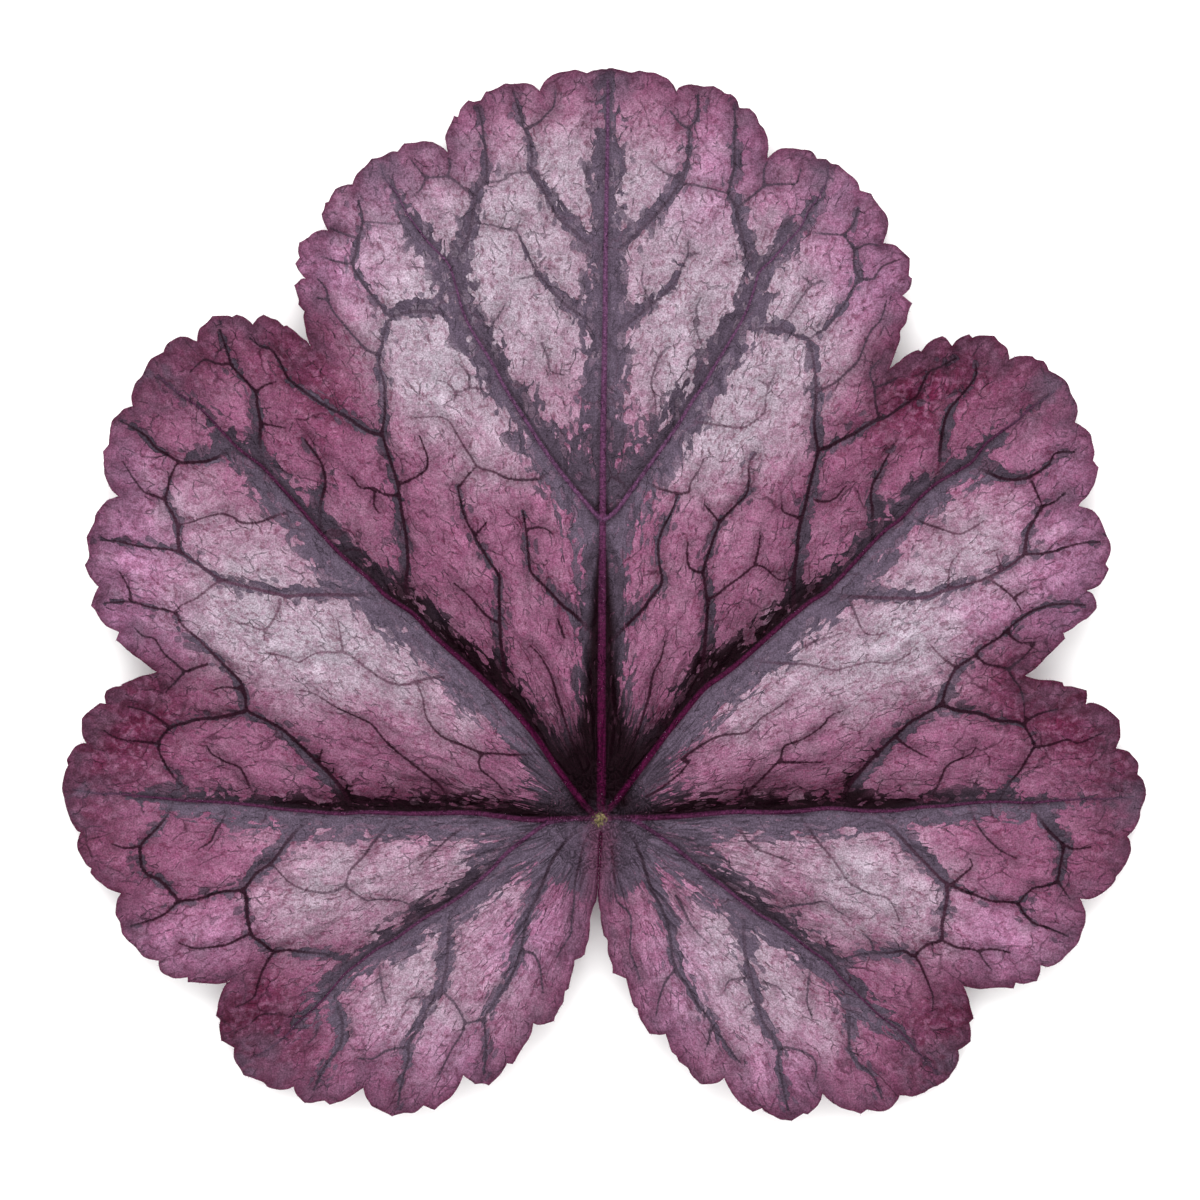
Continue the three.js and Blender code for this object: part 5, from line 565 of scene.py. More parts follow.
class LeafBladeSettings(bpy.types.PropertyGroup):
    """Sizes and colours of the blade."""

    spacing: length_property("Spacing", 0.41, "Distance between points of the upper face")
    under_spacing: length_property("Spacing below", 0.9, "Distance between points of the lower face")
    rib_rise: length_property("Rib rise", 0.42, "Height of the main ribs on the upper face")
    cell_swell: length_property("Cell swell", 0.55, "How far the cells of the net stand up")
    pucker: length_property("Pucker", 0.12, "Height of the small wrinkles in the cells")
    mauve: colour_property("Cells", "#9a6884", "Colour of the cells between the veins")
    silver: colour_property("Silver cells", "#b3a5b2", "Colour where the silver sheen is strongest")
    pink: colour_property("Pink cells", "#ae7fa1", "Colour towards the rim of the lobes")
    # Dusk, shaded and band_shaded are darker copies of the cells and the band: painted shade on the banks
    # that face away from the light. Band_shaded also darkens the grey of the fine lines.
    dusk: colour_property("Dusky cells", "#784761", "Colour on the banks that face away from the light")
    wine: colour_property("Wine-red cells", "#561532", "Colour at the bays between the lobes")
    shaded: colour_property("Shaded cells", "#3a1526", "Colour of cells on the banks above a main vein")
    band: colour_property("Vein band", "#5a4d5d", "Colour of the dark band beside the veins")
    band_shaded: colour_property("Shaded vein band", "#14040b", "Colour of that band above a main vein")
    line: colour_property("Net veins", "#240817", "Colour of the fine veins")
    rib: colour_property("Ribs", "#3a0526", "Colour of the main ribs")
    rib_tip: colour_property("Rib tips", "#5b3a57", "Colour of the main ribs towards the rim")
    flush: colour_property("Flush", "#7c4262", "Colour of the small red flushes in the cells")
    edge: colour_property("Rim", "#c9b7c1", "What the cells' colour is multiplied by near the rim")
    scar: colour_property("Junction", "#94885c", "Colour of the spot where the main veins meet")
    under: colour_property("Lower face", "#6a3452", "Colour of the lower face")
    under_rib: colour_property("Lower ribs", "#8e6676", "Colour of the keels on the lower face")


class LeafHairSettings(bpy.types.PropertyGroup):
    """Sizes and colour of the short hairs."""

    count: IntProperty(name="Hairs", description="Hairs on the ribs and the rim", default=900, min=0)
    length: length_property("Length", 0.32, "Length of the longest hair")
    radius: length_property("Radius", 0.022, "Radius of a hair at its foot")
    colour: colour_property("Colour", "#a57f9b", "Colour of the hairs")


class LeafStageSettings(bpy.types.PropertyGroup):
    """The floor, the lights and the camera."""

    floor: colour_property("Floor", "#fbfbfa", "Colour of the floor")
    key_power: strength_property("Key light", 9.0, "Power of the window-like light")
    sky_strength: strength_property("Sky", 1.6, "Strength of the white all round")
    view_width: length_property("View width", 120.0, "Width that the camera takes in")
    camera_height: length_property("Camera height", 900.0, "Height of the camera over the floor")


# ---------------------------------------------------------------- small sums


def between(start, end, share):
    return start + (end - start) * share


def clipped(value):
    return min(1.0, max(0.0, value))


def passed(value, start, end):
    """How far a value has come from start to end, from 0 to 1."""
    return clipped((value - start) / (end - start))


def bell(distance, reach):
    return math.exp(-((distance / reach) ** 2))


def catmull_rom(a, b, c, d, t):
    """A point of the smooth curve from b to c."""
    return 0.5 * (
        2 * b + (c - a) * t + (2 * a - 5 * b + 4 * c - d) * t * t + (3 * b - a - 3 * c + d) * t * t * t
    )


def search_tree(points):
    """A tree that finds the nearest of some flat points."""
    tree = kdtree.KDTree(len(points))
    for i, point in enumerate(points):
        tree.insert(point.to_3d(), i)
    tree.balance()
    return tree


# ---------------------------------------------------------------- veins and rim


Nearest = namedtuple("Nearest", ("distance", "along", "away", "vein"))


class Vein:
    """One vein as a fine line, with the share of its length covered at each point."""

    def __init__(self, row, looks=None):
        self.looks = looks
        self.points = self.fine_line([Vector(mark) for mark in zip(row[::2], row[1::2])])
        covered = [0.0]
        for a, b in zip(self.points, self.points[1:]):
            covered.append(covered[-1] + (b - a).length)
        self.along = [length / covered[-1] for length in covered]

    def fine_line(self, marks):
        """Points a small step apart on the curve through the vein's marks."""
        points = []
        for i in range(len(marks) - 1):
            a, b, c, d = marks[max(i - 1, 0)], marks[i], marks[i + 1], marks[min(i + 2, len(marks) - 1)]
            count = max(1, round((c - b).length / VEIN_STEP))
            points += [catmull_rom(a, b, c, d, k / count) for k in range(count)]
        return points + [marks[-1]]


class VeinGroup:
    """Veins that are searched together."""

    def __init__(self, veins):
        self.samples = [(vein, i) for vein in veins for i in range(len(vein.points))]
        self.tree = search_tree([vein.points[i] for vein, i in self.samples])

    def nearest(self, place):
        """Distance to the nearest vein, the share of its length there, the way from it, and the vein."""
        vein, i = self.samples[self.tree.find(place.to_3d())[1]]
        best = None
        for k in (i - 1, i):
            if 0 <= k < len(vein.points) - 1:
                a, b = vein.points[k], vein.points[k + 1]
                run = b - a
                t = clipped((place - a).dot(run) / run.length_squared)
                away = place - a - t * run
                if best is None or away.length < best.distance:
                    best = Nearest(away.length, between(vein.along[k], vein.along[k + 1], t), away, vein)
        return best


def rib_half_width(main):
    """Half the width of a main rib at its nearest point."""
    return between(main.vein.looks.rib_foot, main.vein.looks.rib_tip, main.along)


def rim_of_part(upright=0.02, lying=0.2):
    """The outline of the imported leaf, from the upper edge of its rim, in millimetres on the leaf."""
    part = bmesh.new()
    part.from_mesh(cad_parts["leaf"].data)
    bmesh.ops.remove_doubles(part, verts=part.verts, dist=1e-7)
    part.normal_update()
    next_to = {}
    for edge in part.edges:
        steep = sorted(face.normal.z for face in edge.link_faces)
        if len(steep) == 2 and abs(steep[0]) < upright and steep[1] > lying:
            for vert in edge.verts:
                next_to.setdefault(vert, []).append(edge.other_vert(vert))
    start = min(next_to, key=lambda v: (v.co.x, v.co.y))
    ring = [start, next_to[start][0]]
    while True:
        options = [v for v in next_to[ring[-1]] if v is not ring[-2]]
        if options[0] is start:
            break
        ring.append(options[0])
    points = [Vector((v.co.x, v.co.y)) / MM - JUNCTION for v in ring]
    part.free()
    area = sum(a.x * b.y - a.y * b.x for a, b in zip(points, points[1:] + points[:1]))
    return points if area > 0 else points[::-1]


def outward(ring, i):
    """The way along a ring of points at one of them, and the way out of it."""
    run = (ring[(i + 1) % len(ring)] - ring[i - 1]).normalized()
    return run, Vector((run.y, -run.x))


def fine_rim(points):
    """The outline with more points, rounded between its notches, and a little uneven."""
    count = len(points)
    sharp = []
    for i in range(count):
        before, after = points[i] - points[i - 1], points[(i + 1) % count] - points[i]
        sharp.append(abs(before.angle_signed(after)) > RIM_NOTCH)
    ring = []
    for i in range(count):
        b, c = points[i], points[(i + 1) % count]
        a = b if sharp[i] else points[i - 1]
        d = c if sharp[(i + 1) % count] else points[(i + 2) % count]
        ring += [catmull_rom(a, b, c, d, k / RIM_PARTS) for k in range(RIM_PARTS)]
    return [
        p + RIM_SLIP * noise.noise((p * RIM_GRAIN).to_3d()) * outward(ring, i)[1]
        for i, p in enumerate(ring)
    ]


def closed_slit(ring):
    """The outline with the two lowest lobes brought together, where they meet under the junction."""
    closed = []
    for p in ring:
        middle = SLIT_MIDDLE + SLIT_SLANT * p.y
        aside = p.x - middle
        if abs(aside) < SLIT_REACH and SLIT_FOOT < p.y < SLIT_TOP:
            share = min(1.0, (p.y - SLIT_FOOT) / SLIT_OPENING)
            aside = math.copysign(max(SLIT_HALF_WIDTH, abs(aside) * (1 - share)), aside)
        closed.append(Vector((middle + aside, p.y)))
    return closed


# ---------------------------------------------------------------- the blade


# What is kept for the materials at each point of the blade. The shade mark carries painted shade,
# partly the leaf's own dark, and the mark of the junction's wedge carries painted shade.
MARKS = ("band", "loose", "open", "line", "rib", "main", "tip", "shade", "pit", "rim", "junction")
Surroundings = namedtuple("Surroundings", ("mains", "main", "branch", "net", "rim", "blended", "bank"))


class LeafForm:
    """The leaf's veins and rim, and the heights and marks that follow from them."""

    def __init__(self, settings):
        self.settings = settings
        self.mains = [Vein(row, looks) for row, looks in zip(MAIN_VEINS, MAIN_LOOKS)]
        self.branches = [Vein(row) for row in BRANCH_VEINS]
        self.net = [Vein(row) for row in NET_VEINS]
        sections = [(a, b) for main in self.mains for a, b in zip(main.points, main.points[1:])]
        for vein in self.branches:
            foot = vein.points[0]
            a, b = min(sections, key=lambda section: (section[0] - foot).length)
            vein.onward = (b - a).normalized() if (a - foot).length < FOOT_GAP else Vector((0, 0))
        self.main_groups = [VeinGroup([vein]) for vein in self.mains]
        self.branch_group = VeinGroup(self.branches)
        self.net_group = VeinGroup(self.net)
        self.rim = closed_slit(fine_rim(rim_of_part()))
        self.rim_tree = search_tree(self.rim)
        self.tints = [
            (x, y, 1 / reach**2, strength, Vector(getattr(settings, kind)[:3]))
            for kind, patches in TINTS.items()
            for x, y, reach, strength in patches
        ]

    def rim_distance(self, place):
        return self.rim_tree.find(place.to_3d())[2]

    def look_round(self, place):
        """The nearest veins of each kind, the rim, and how far up its bank the place lies."""
        mains = [group.nearest(place) for group in self.main_groups]
        blended = -RIDGE_ROUND * math.log(sum(math.exp(-m.distance / RIDGE_ROUND) for m in mains))
        blended = max(0.0, blended)
        return Surroundings(
            mains=mains,
            main=min(mains, key=lambda m: m.distance),
            branch=self.branch_group.nearest(place),
            net=self.net_group.nearest(place),
            rim=self.rim_distance(place),
            blended=blended,
            bank=math.hypot(blended, FOLD_ROUND) - FOLD_ROUND,
        )

    def heights(self, place, near):
        """Heights of the upper and the lower face, with folds, cells, ribs and keels."""
        s = self.settings
        main, branch, net = near.main, near.branch, near.net
        fold = FOLD_HEIGHT * (1 - math.exp(-near.bank / FOLD_REACH))
        valley = min(BRANCH_VALLEY, fold / 2) * math.exp(-branch.distance / BRANCH_REACH)
        gap = min(main.distance, branch.distance, net.distance)
        swell = s.cell_swell / MM * (1 - math.exp(-min(gap, near.bank) / CELL_REACH))
        out = place - MIDDLE
        radius = out.length / WAVE_RADIUS
        wave = WAVE_HEIGHT * radius * radius * math.sin(WAVE_COUNT * math.atan2(out.y, out.x) + WAVE_START)
        droop = RIM_DROOP * math.exp(-near.rim / RIM_REACH)
        rise = max(0.0, fold - valley + wave * min(1, fold / 2) - droop * min(1, fold))
        wrinkle = s.pucker / MM * noise.noise((place * WRINKLE_GRAIN).to_3d())
        wrinkle *= min(1.0, gap / WRINKLE_CLEARANCE)
        floor = VEIN_FLOOR + rise + swell + wrinkle * min(1.0, near.rim)
        taper = 1 - RIB_TAPER * main.along
        rib = s.rib_rise / MM * taper * math.sqrt(max(0.0, 1 - (main.distance / rib_half_width(main)) ** 2))
        thick = between(THICKNESS, RIM_THICKNESS, math.exp(-near.rim))
        branch_taper = 1 - RIB_TAPER * branch.along
        keel = max(
            KEEL_DEPTH * taper * max(0.0, 1 - main.distance / KEEL_HALF_WIDTH),
            BRANCH_KEEL_DEPTH * branch_taper * max(0.0, 1 - branch.distance / KEEL_HALF_WIDTH),
            NET_KEEL_DEPTH * max(0.0, 1 - net.distance / NET_KEEL_HALF_WIDTH),
            SCAR_DEPTH * max(0.0, SCAR_EDGE - place.length / SCAR_RADIUS),
        )
        return floor + rib, max(0.0, floor - thick - keel)

    def banks(self, place, near):
        """How dark the place is and how wide the bare band beside its main veins.

        The darkness is partly the leaf's own colour and partly painted shade: the banks that face
        south, away from the light, are the darker ones, most of all near the foot of a vein.
        """
        facing = 0.0
        half = 0.0
        total = 0.0
        for m in near.mains:
            looks = m.vein.looks
            weight = math.exp(-m.distance / BANK_BLEND)
            slope = m.away.y / max(m.distance, STEEP_GAP)
            dark = looks.dark if slope > 0 else 1.0
            facing += weight * slope * dark * passed(m.along, 1.0, FADE_FROM)
            north = 0.5 + 0.5 * slope
            foot = between(looks.south_foot, looks.north_foot, north)
            tip = between(looks.south_tip, looks.north_tip, north)
            left = min(1.0, looks.tip_share + (1 - m.along) / TIP_FADE)
            half += weight * between(foot, tip, m.along**2) * left
            total += weight
        shade = facing / total * math.exp(-near.bank / BANK_REACH)
        below_fork = passed(place.y, *FORK_TOP) * passed(place.y, *FORK_FOOT)
        fork_reach = max(1.0, FORK_REACH - FORK_NARROWING * place.y)
        shade += FORK_SHADE * below_fork * bell(near.mains[0].distance, fork_reach)
        streak = min(passed(place.y, *STREAK_TOP), passed(place.y, *STREAK_FOOT))
        shade += SLIT_SHADE * streak * bell(place.x - STREAK_MIDDLE, STREAK_REACH)
        return shade, half / total

    def marks(self, place, near):
        """What the upper skin's pattern follows, by the names in MARKS."""
        main, branch, net = near.main, near.branch, near.net
        looks = main.vein.looks
        shade, half = self.banks(place, near)
        open_share = max(passed(place.y, *OPEN_TOP), passed(place.y, *OPEN_FOOT))
        open_share *= passed(abs(place.x), *OPEN_SIDE)
        south = clipped(-2.0 * place.y / max(place.length, 0.1))
        width = BRANCH_BAND + max(BRANCH_BAND_OPEN * open_share, min(BRANCH_BAND_LIT, max(0.0, -shade)))
        width *= (1 - BRANCH_BAND_TAPER * branch.along) ** BRANCH_BAND_POWER
        across = branch.away / max(branch.distance, BRANCH_GAP) * (1 - branch.along)
        from_main = near.blended - half + looks.closing * passed(main.along, looks.closes_from, 1.0)
        from_branch = branch.distance - width - AXIL_BAND * max(0.0, across.dot(branch.vein.onward))
        turn = min(LARGEST_POWER, (from_main - from_branch - FLAKE_TURN) / FLAKE_TURN_REACH)
        loose = between(BRANCH_FLAKES, 1.0, 1 / (1 + math.exp(turn)))
        loose *= 1 + SHADED_FLAKES * clipped(shade)
        apart = min(1.0, near.blended / BRANCH_LEAN_CLEARANCE) ** 2 * (1 - open_share)
        # Painted shade on the bank of a branch that faces away from the light, and painted light on the
        # other.
        shade += BRANCH_LEAN * across.y * apart * bell(branch.distance, BRANCH_LEAN_REACH)
        # Painted shade in the wedge above the junction.
        wedge = passed(place.y - WEDGE_SLOPE * abs(place.x), *WEDGE_EDGE)
        return {
            "band": min(from_main, from_branch, place.length - HEART_RADIUS * south),
            "loose": loose,
            "open": open_share,
            "line": min(
                branch.distance - between(*BRANCH_LINE, branch.along),
                net.distance - between(*NET_LINE, net.along),
            ),
            "rib": main.distance - rib_half_width(main),
            "main": main.distance,
            "tip": between(looks.grey_foot, looks.grey_tip, main.along),
            "shade": shade,
            "pit": wedge * bell(place.length, WEDGE_REACH),
            "rim": near.rim,
            "junction": place.length,
        }

    def cell_colour(self, place):
        """The colour of the cells, from the soft patches round the place, among them painted shade and
        painted light.
        """
        colour = Vector(self.settings.mauve[:3])
        for x, y, tightness, strength, tint in self.tints:
            gap = ((place.x - x) ** 2 + (place.y - y) ** 2) * tightness
            if gap < PATCH_END:
                colour = colour.lerp(tint, strength * math.exp(-gap))
        return (*colour, 1.0)


def vein_points(form, spacing, with_net):
    """Points on the rim and the veins, the edges between them, and rows of points beside the ribs."""
    points = [p.copy() for p in form.rim]
    edges = []
    step = max(1, round(spacing / VEIN_STEP))
    for vein in form.mains + form.branches + (form.net if with_net else []):
        last = None
        for p in vein.points[::step]:
            if form.rim_distance(p) < RIM_CLEARANCE:
                last = None
                continue
            points.append(p)
            if last is not None:
                edges.append((last, len(points) - 1))
            last = len(points) - 1
    if with_net:
        for vein in form.mains:
            for offset in RIB_ROWS:
                for i in range(1, len(vein.points) - 1):
                    run = (vein.points[i + 1] - vein.points[i - 1]).normalized()
                    shrink = 1 - ROW_TAPER * vein.along[i]
                    p = vein.points[i] + Vector((-run.y, run.x)) * offset * shrink
                    if form.rim_distance(p) > RIM_CLEARANCE:
                        points.append(p)
    return points, edges


def field_points(taken, spacing):
    """Points in even, slightly shaken rows, clear of the points that are taken."""
    rng = random.Random(73)
    tree = search_tree(taken)
    field = []
    for row in range(int(FIELD_SIZE.y / (spacing * ROW_SHARE))):
        y = FIELD_CORNER.y + row * spacing * ROW_SHARE
        for column in range(int(FIELD_SIZE.x / spacing)):
            x = FIELD_CORNER.x + (column + 0.5 * (row % 2)) * spacing
            right, up = (rng.uniform(-JITTER, JITTER) * spacing for _ in range(2))
            p = Vector((x + right, y + up))
            if tree.find(p.to_3d())[2] > VEIN_CLEARANCE * spacing:
                field.append(p)
    return field


def spread_points(form, spacing, with_net):
    """Flat points and triangles over the leaf, and the ring of points on its rim."""
    points, edges = vein_points(form, spacing, with_net)
    points += field_points(points, spacing)
    outline = [list(range(len(form.rim)))]
    places, _, faces, origins, _, owners = delaunay_2d_cdt(points, edges, outline, 0, 1e-4, True)
    faces = [face for face, owner in zip(faces, owners) if owner]
    where = {source: i for i, sources in enumerate(origins) for source in sources}
    ring = [where[i] for i in range(len(form.rim))]
    used = sorted({i for face in faces for i in face} | set(ring))
    number = {old: new for new, old in enumerate(used)}
    return (
        [places[i] for i in used],
        [[number[i] for i in face] for face in faces],
        [number[i] for i in ring],
    )


def to_metres(place, height):
    return Vector(((place.x + JUNCTION.x) * MM, (place.y + JUNCTION.y) * MM, height * MM))


def finished_object(name, shape, materials):
    """An object made of a bmesh, which is freed."""
    mesh = bpy.data.meshes.new(name)
    shape.to_mesh(mesh)
    shape.free()
    for material in materials:
        mesh.materials.append(material)
    obj = bpy.data.objects.new(name, mesh)
    bpy.context.scene.collection.objects.link(obj)
    return obj


class HEUCHERA_OT_blade(bpy.types.Operator):
    """Make the blade with its folds, net, ribs and keels"""

    bl_idname = "heuchera.blade"
    bl_label = "Blade"

    def execute(self, context):
        s = context.scene.leaf_blade
        form = LeafForm(s)
        shape = bmesh.new()
        readings = []
        colours = []
        rings = []
        for side, spacing in enumerate((s.spacing, s.under_spacing)):
            places, faces, ring = spread_points(form, spacing / MM, with_net=side == 0)
            verts = []
            for place in places:
                near = form.look_round(place)
                readings.append(form.marks(place, near))
                colours.append(form.cell_colour(place))
                verts.append(shape.verts.new(to_metres(place, form.heights(place, near)[side])))
            for face in faces:
                made = shape.faces.new([verts[i] for i in face])
                made.smooth = True
                made.material_index = side
                if side == 1:
                    made.normal_flip()
            rings.append([verts[i] for i in ring])
        self.close_rim(shape, *rings)
        shape.normal_update()
        blade = finished_object(
            "heuchera_leaf_blade", shape, [upper_face_material(s), lower_face_material(s)]
        )
        for mark in MARKS:
            layer = blade.data.attributes.new(mark, "FLOAT", "POINT")
            layer.data.foreach_set("value", [reading[mark] for reading in readings])
        tint = blade.data.attributes.new("tint", "FLOAT_COLOR", "POINT")
        tint.data.foreach_set("color", [c for colour in colours for c in colour])
        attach(blade, "root")
        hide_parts("leaf")
        return {"FINISHED"}

    def close_rim(self, shape, top, bottom):
        """The thin wall round the rim, with a sharp edge at both faces."""
        for i, vert in enumerate(top):
            after = (i + 1) % len(top)
            wall = shape.faces.new((vert, bottom[i], bottom[after], top[after]))
            wall.smooth = True
            for ring in (top, bottom):
                shape.edges.get((ring[i], ring[after])).smooth = False


# ---------------------------------------------------------------- materials


def add_node(tree, kind, inputs, output=0, **settings):
    """Add a node with its settings and links, its inputs by order or by name, and give an output."""
    node = tree.nodes.new("ShaderNode" + kind)
    for name, value in settings.items():
        setattr(node, name, value)
    numbered = inputs.items() if isinstance(inputs, dict) else enumerate(inputs)
    for key, value in numbered:
        if isinstance(value, bpy.types.NodeSocket):
            tree.links.new(value, node.inputs[key])
        else:
            node.inputs[key].default_value = value
    return node.outputs[output] if node.outputs else None


def product(tree, *factors):
    """The product of some factors.

    A factor in brackets is a smooth step: a value, the two ends of the stretch that counts, and what
    the step gives at each, or 0 and 1 where nothing is said.
    """
    result = None
    for factor in factors:
        if isinstance(factor, tuple):
            factor = add_node(tree, "MapRange", factor, interpolation_type="SMOOTHSTEP")
        if result is None:
            result = factor
        else:
            result = add_node(tree, "Math", [result, factor], operation="MULTIPLY")
    return result


def laid_over(tree, colour, *layers):
    """A colour with layers mixed or multiplied over it, each as strong as the product of its factors."""
    for how, above, *factors in layers:
        share = product(tree, *factors) if factors else 1.0
        inputs = {0: share, 6: colour, 7: above}
        colour = add_node(tree, "Mix", inputs, output=2, data_type="RGBA", blend_type=how)
    return colour


def roughened(tree, value, *grains):
    """A value made uneven by noise, each kind by up to half its reach to either side."""
    for grain, reach in grains:
        value = add_node(tree, "Math", [grain, reach, value], operation="MULTIPLY_ADD")
    half = sum(reach for _, reach in grains) / 2
    return add_node(tree, "Math", [value, half], operation="SUBTRACT")


def new_material(name):
    """A material, and makers that fill its tree; what they make is kept beside them by name."""
    material = bpy.data.materials.new(name)
    material.use_nodes = True
    tree = material.node_tree
    tree.nodes.clear()
    skin = SimpleNamespace(
        node=partial(add_node, tree),
        times=partial(product, tree),
        over=partial(laid_over, tree),
        uneven=partial(roughened, tree),
    )
    return material, skin


def lay_ground(skin):
    """The marks, places and noise that the upper skin's pattern is made of."""
    node = skin.node
    for mark in MARKS:
        setattr(skin, mark, node("Attribute", [], output="Fac", attribute_name=mark))
    skin.tint = node("Attribute", [], output="Color", attribute_name="tint")
    skin.paleness = node("SeparateColor", [skin.tint], output="Green")
    skin.pale = skin.times((skin.paleness, 0.13, 0.36))

    # Places are in millimetres from the junction. The flakes run out from it, so their pattern is
    # drawn out along that way.
    spot = node("TexCoord", [], output="Object")
    to_place = [spot, (1 / MM, 1 / MM, 0), (-JUNCTION.x, -JUNCTION.y, 0)]
    place = node("VectorMath", to_place, operation="MULTIPLY_ADD")
    reach = node("VectorMath", [place], output="Value", operation="LENGTH")
    reach = node("Math", [reach, 5.5], operation="MAXIMUM")
    pull = node("Math", [node("Math", [16.0, reach], operation="DIVIDE"), 0.45], operation="ADD")
    flow = node("VectorMath", {0: place, "Scale": pull}, operation="SCALE")
    for size, share in ((2.4, 1.0), (0.5, 0.2)):
        drift = node("TexNoise", {"Vector": place, "Scale": 1 / size, "Detail": 1.0}, output="Color")
        drift = node("VectorMath", [drift, (0.5, 0.5, 0.5)], operation="SUBTRACT")
        flow = node("VectorMath", [drift, (share, share, share), flow], operation="MULTIPLY_ADD")
    skin.flow = flow

    # Noise, with the size of its grains in millimetres and its detail. The skin's own pores are about
    # 0.05 mm across, too fine to show, so the dust is drawn at 0.16 mm.
    for name, ground, size, detail in (
        ("broad", place, 4.5, 2.0),
        ("clouds", place, 3.0, 4.0),
        ("middle", place, 1.7, 2.0),
        ("blush", place, 1.3, 2.0),
        ("glimmer", place, 0.75, 3.0),
        ("flecks", place, 0.5, 2.0),
        ("fine", place, 0.3, 3.0),
        ("dust", place, 0.16, 1.0),
        ("patchy", flow, 1.5, 2.0),
        ("ragged", flow, 0.5, 2.0),
        ("specks", flow, 0.28, 1.0),
    ):
        setattr(skin, name, node("TexNoise", {"Vector": ground, "Scale": 1 / size, "Detail": detail}))


def lay_flakes(skin):
    """Where the skin is silvered: by the distance from the band, with ragged flakes, islands and holes."""
    node, times = skin.node, skin.times
    wander = skin.uneven(0.0, (skin.ragged, 3.6), (skin.patchy, 5.6), (skin.broad, 2.5))
    wander = times((wander, -3.4, 3.4, -1.9, 1.9))
    silver = node("Math", [wander, skin.loose, skin.band], operation="MULTIPLY_ADD")
    skin.flake = node("TexVoronoi", {"Vector": skin.flow, "Scale": 1.0}, feature="DISTANCE_TO_EDGE")
    steep = times(silver, (skin.loose, 0.4, 0.95, 5.0, 1.0))
    gap = node("Math", [
        times((steep, -1.1, 1.3, 0.46, -0.03)),
        times((skin.shade, 0.1, 0.9, 0.0, 0.14), (skin.middle, 0.35, 0.65)),
    ], operation="ADD")
    lit = times((node("Math", [skin.flake, gap], operation="SUBTRACT"), -0.02, 0.05))

    # Small islands of silver out on the band, and small holes where it begins.
    distance = node("TexVoronoi", {"Vector": skin.flow, "Scale": 1 / 0.62}, feature="F1")
    pick = node("SeparateColor", [distance.node.outputs["Color"]], output="Red")
    core = times((distance, 0.36, 0.5, 1.0, 0.0))
    inside = node("Math", [silver, 0.33, pick], operation="MULTIPLY_ADD")
    island = times(core, (inside, 0.3, 0.35))
    outside = node("Math", [silver, -0.6, pick], operation="MULTIPLY_ADD")
    hole = times(core, (outside, 0.25, 0.3))
    kept = node("Math", [hole, -0.8, 1.0], operation="MULTIPLY_ADD")
    skin.lit = times(node("Math", [lit, island], operation="MAXIMUM"), kept)


def lay_seams(skin):
    """Short wide seams between the flakes, and a finer net of them with domes between over the cells."""
    times = skin.times
    wide = skin.node("TexVoronoi", {"Vector": skin.flow, "Scale": 1 / 2.6}, feature="DISTANCE_TO_EDGE")
    wide = times(wide, 2.6)
    skin.short = times((skin.flake, 0.0, 0.06, 1.0, 0.0), (skin.middle, 0.51, 0.61))
    skin.wide_line = times((wide, 0.0, 0.085, 1.0, 0.0), (skin.broad, 0.46, 0.58, 0.06, 1.0))
    # The domes raise the bump, and in the cells' colour they also paint light in the middle of each cell.
    skin.dome = times((wide, 0.0, 0.9))


def cell_colours(skin, s):
    """The cells: painted shade on a bank, flushed, silvered, with painted light on their domes and painted
    shade towards the net, and freckled.
    """
    times, uneven, pale = skin.times, skin.uneven, skin.pale
    # Painted shade on the banks that face away from the light.
    painted_bank_shade = times((uneven(skin.shade, (skin.broad, 0.8)), 0.07, 0.88, 0.0, 0.92))
    warm = skin.node("Math", [skin.flecks, skin.blush], operation="ADD")
    # Painted light and shade on the cells: lighter in the middle of each dome and of each cell of the net,
    # darker towards the net veins, over a random mottle.
    low, high = times((pale, 0.0, 1.0, 0.75, 0.84)), times((pale, 0.0, 1.0, 1.07, 1.01))
    painted_pillow_light = (uneven(skin.line, (skin.middle, 1.2)), 0.0, 1.4, low, high)
    mottle_and_painted_domes = times((skin.middle, 0.3, 0.7, 0.89, 1.09), (skin.dome, 0.0, 1.0, 0.9, 1.04), painted_pillow_light)
    return skin.over(
        skin.tint,
        ("MIX", s.shaded, painted_bank_shade),
        ("MIX", s.flush, (warm, 0.86, 1.2, 0.0, 0.55), (pale, 0.0, 1.0, 1.0, 0.75),
         (painted_bank_shade, 0.0, 0.8, 1.0, 0.3)),
        ("MIX", s.silver, (skin.clouds, 0.5, 0.7, 0.0, 0.4), (skin.paleness, 0.07, 0.3, 0.16, 1.0)),
        ("MIX", s.mauve, (skin.glimmer, 0.47, 0.66, 0.0, 0.5), (skin.paleness, 0.04, 0.16, 1.0, 0.0)),
        ("MULTIPLY", mottle_and_painted_domes),
        ("MIX", s.wine, (skin.specks, 0.55, 0.65, 0.0, 0.5), (skin.patchy, 0.38, 0.6, 0.3, 1.0)),
    )


def band_colours(skin, s, cells):
    """The bare band: grey where it is open, nearly black with painted shade above a vein, and like the cells
    far out.
    """
    times, shade = skin.times, skin.shade
    # Painted shade on the band: nearly black on the banks above a vein, and darker among dusky cells.
    painted_band_shade = times((skin.paleness, 0.1, 0.3, 0.45, 0.0), (shade, -0.3, -0.05), (skin.open, 0.0, 0.5, 1.0, 0.0))
    painted_band_shade = skin.node("Math", [painted_band_shade, times((shade, -0.05, 0.6))], operation="MAXIMUM")
    return skin.over(
        s.band,
        ("MIX", s.band_shaded, painted_band_shade),
        ("MULTIPLY", times((skin.ragged, 0.35, 0.65, 0.86, 1.12))),
        ("MIX", cells, (skin.band, 0.2, 2.4, 0.0, 0.5)),
    )


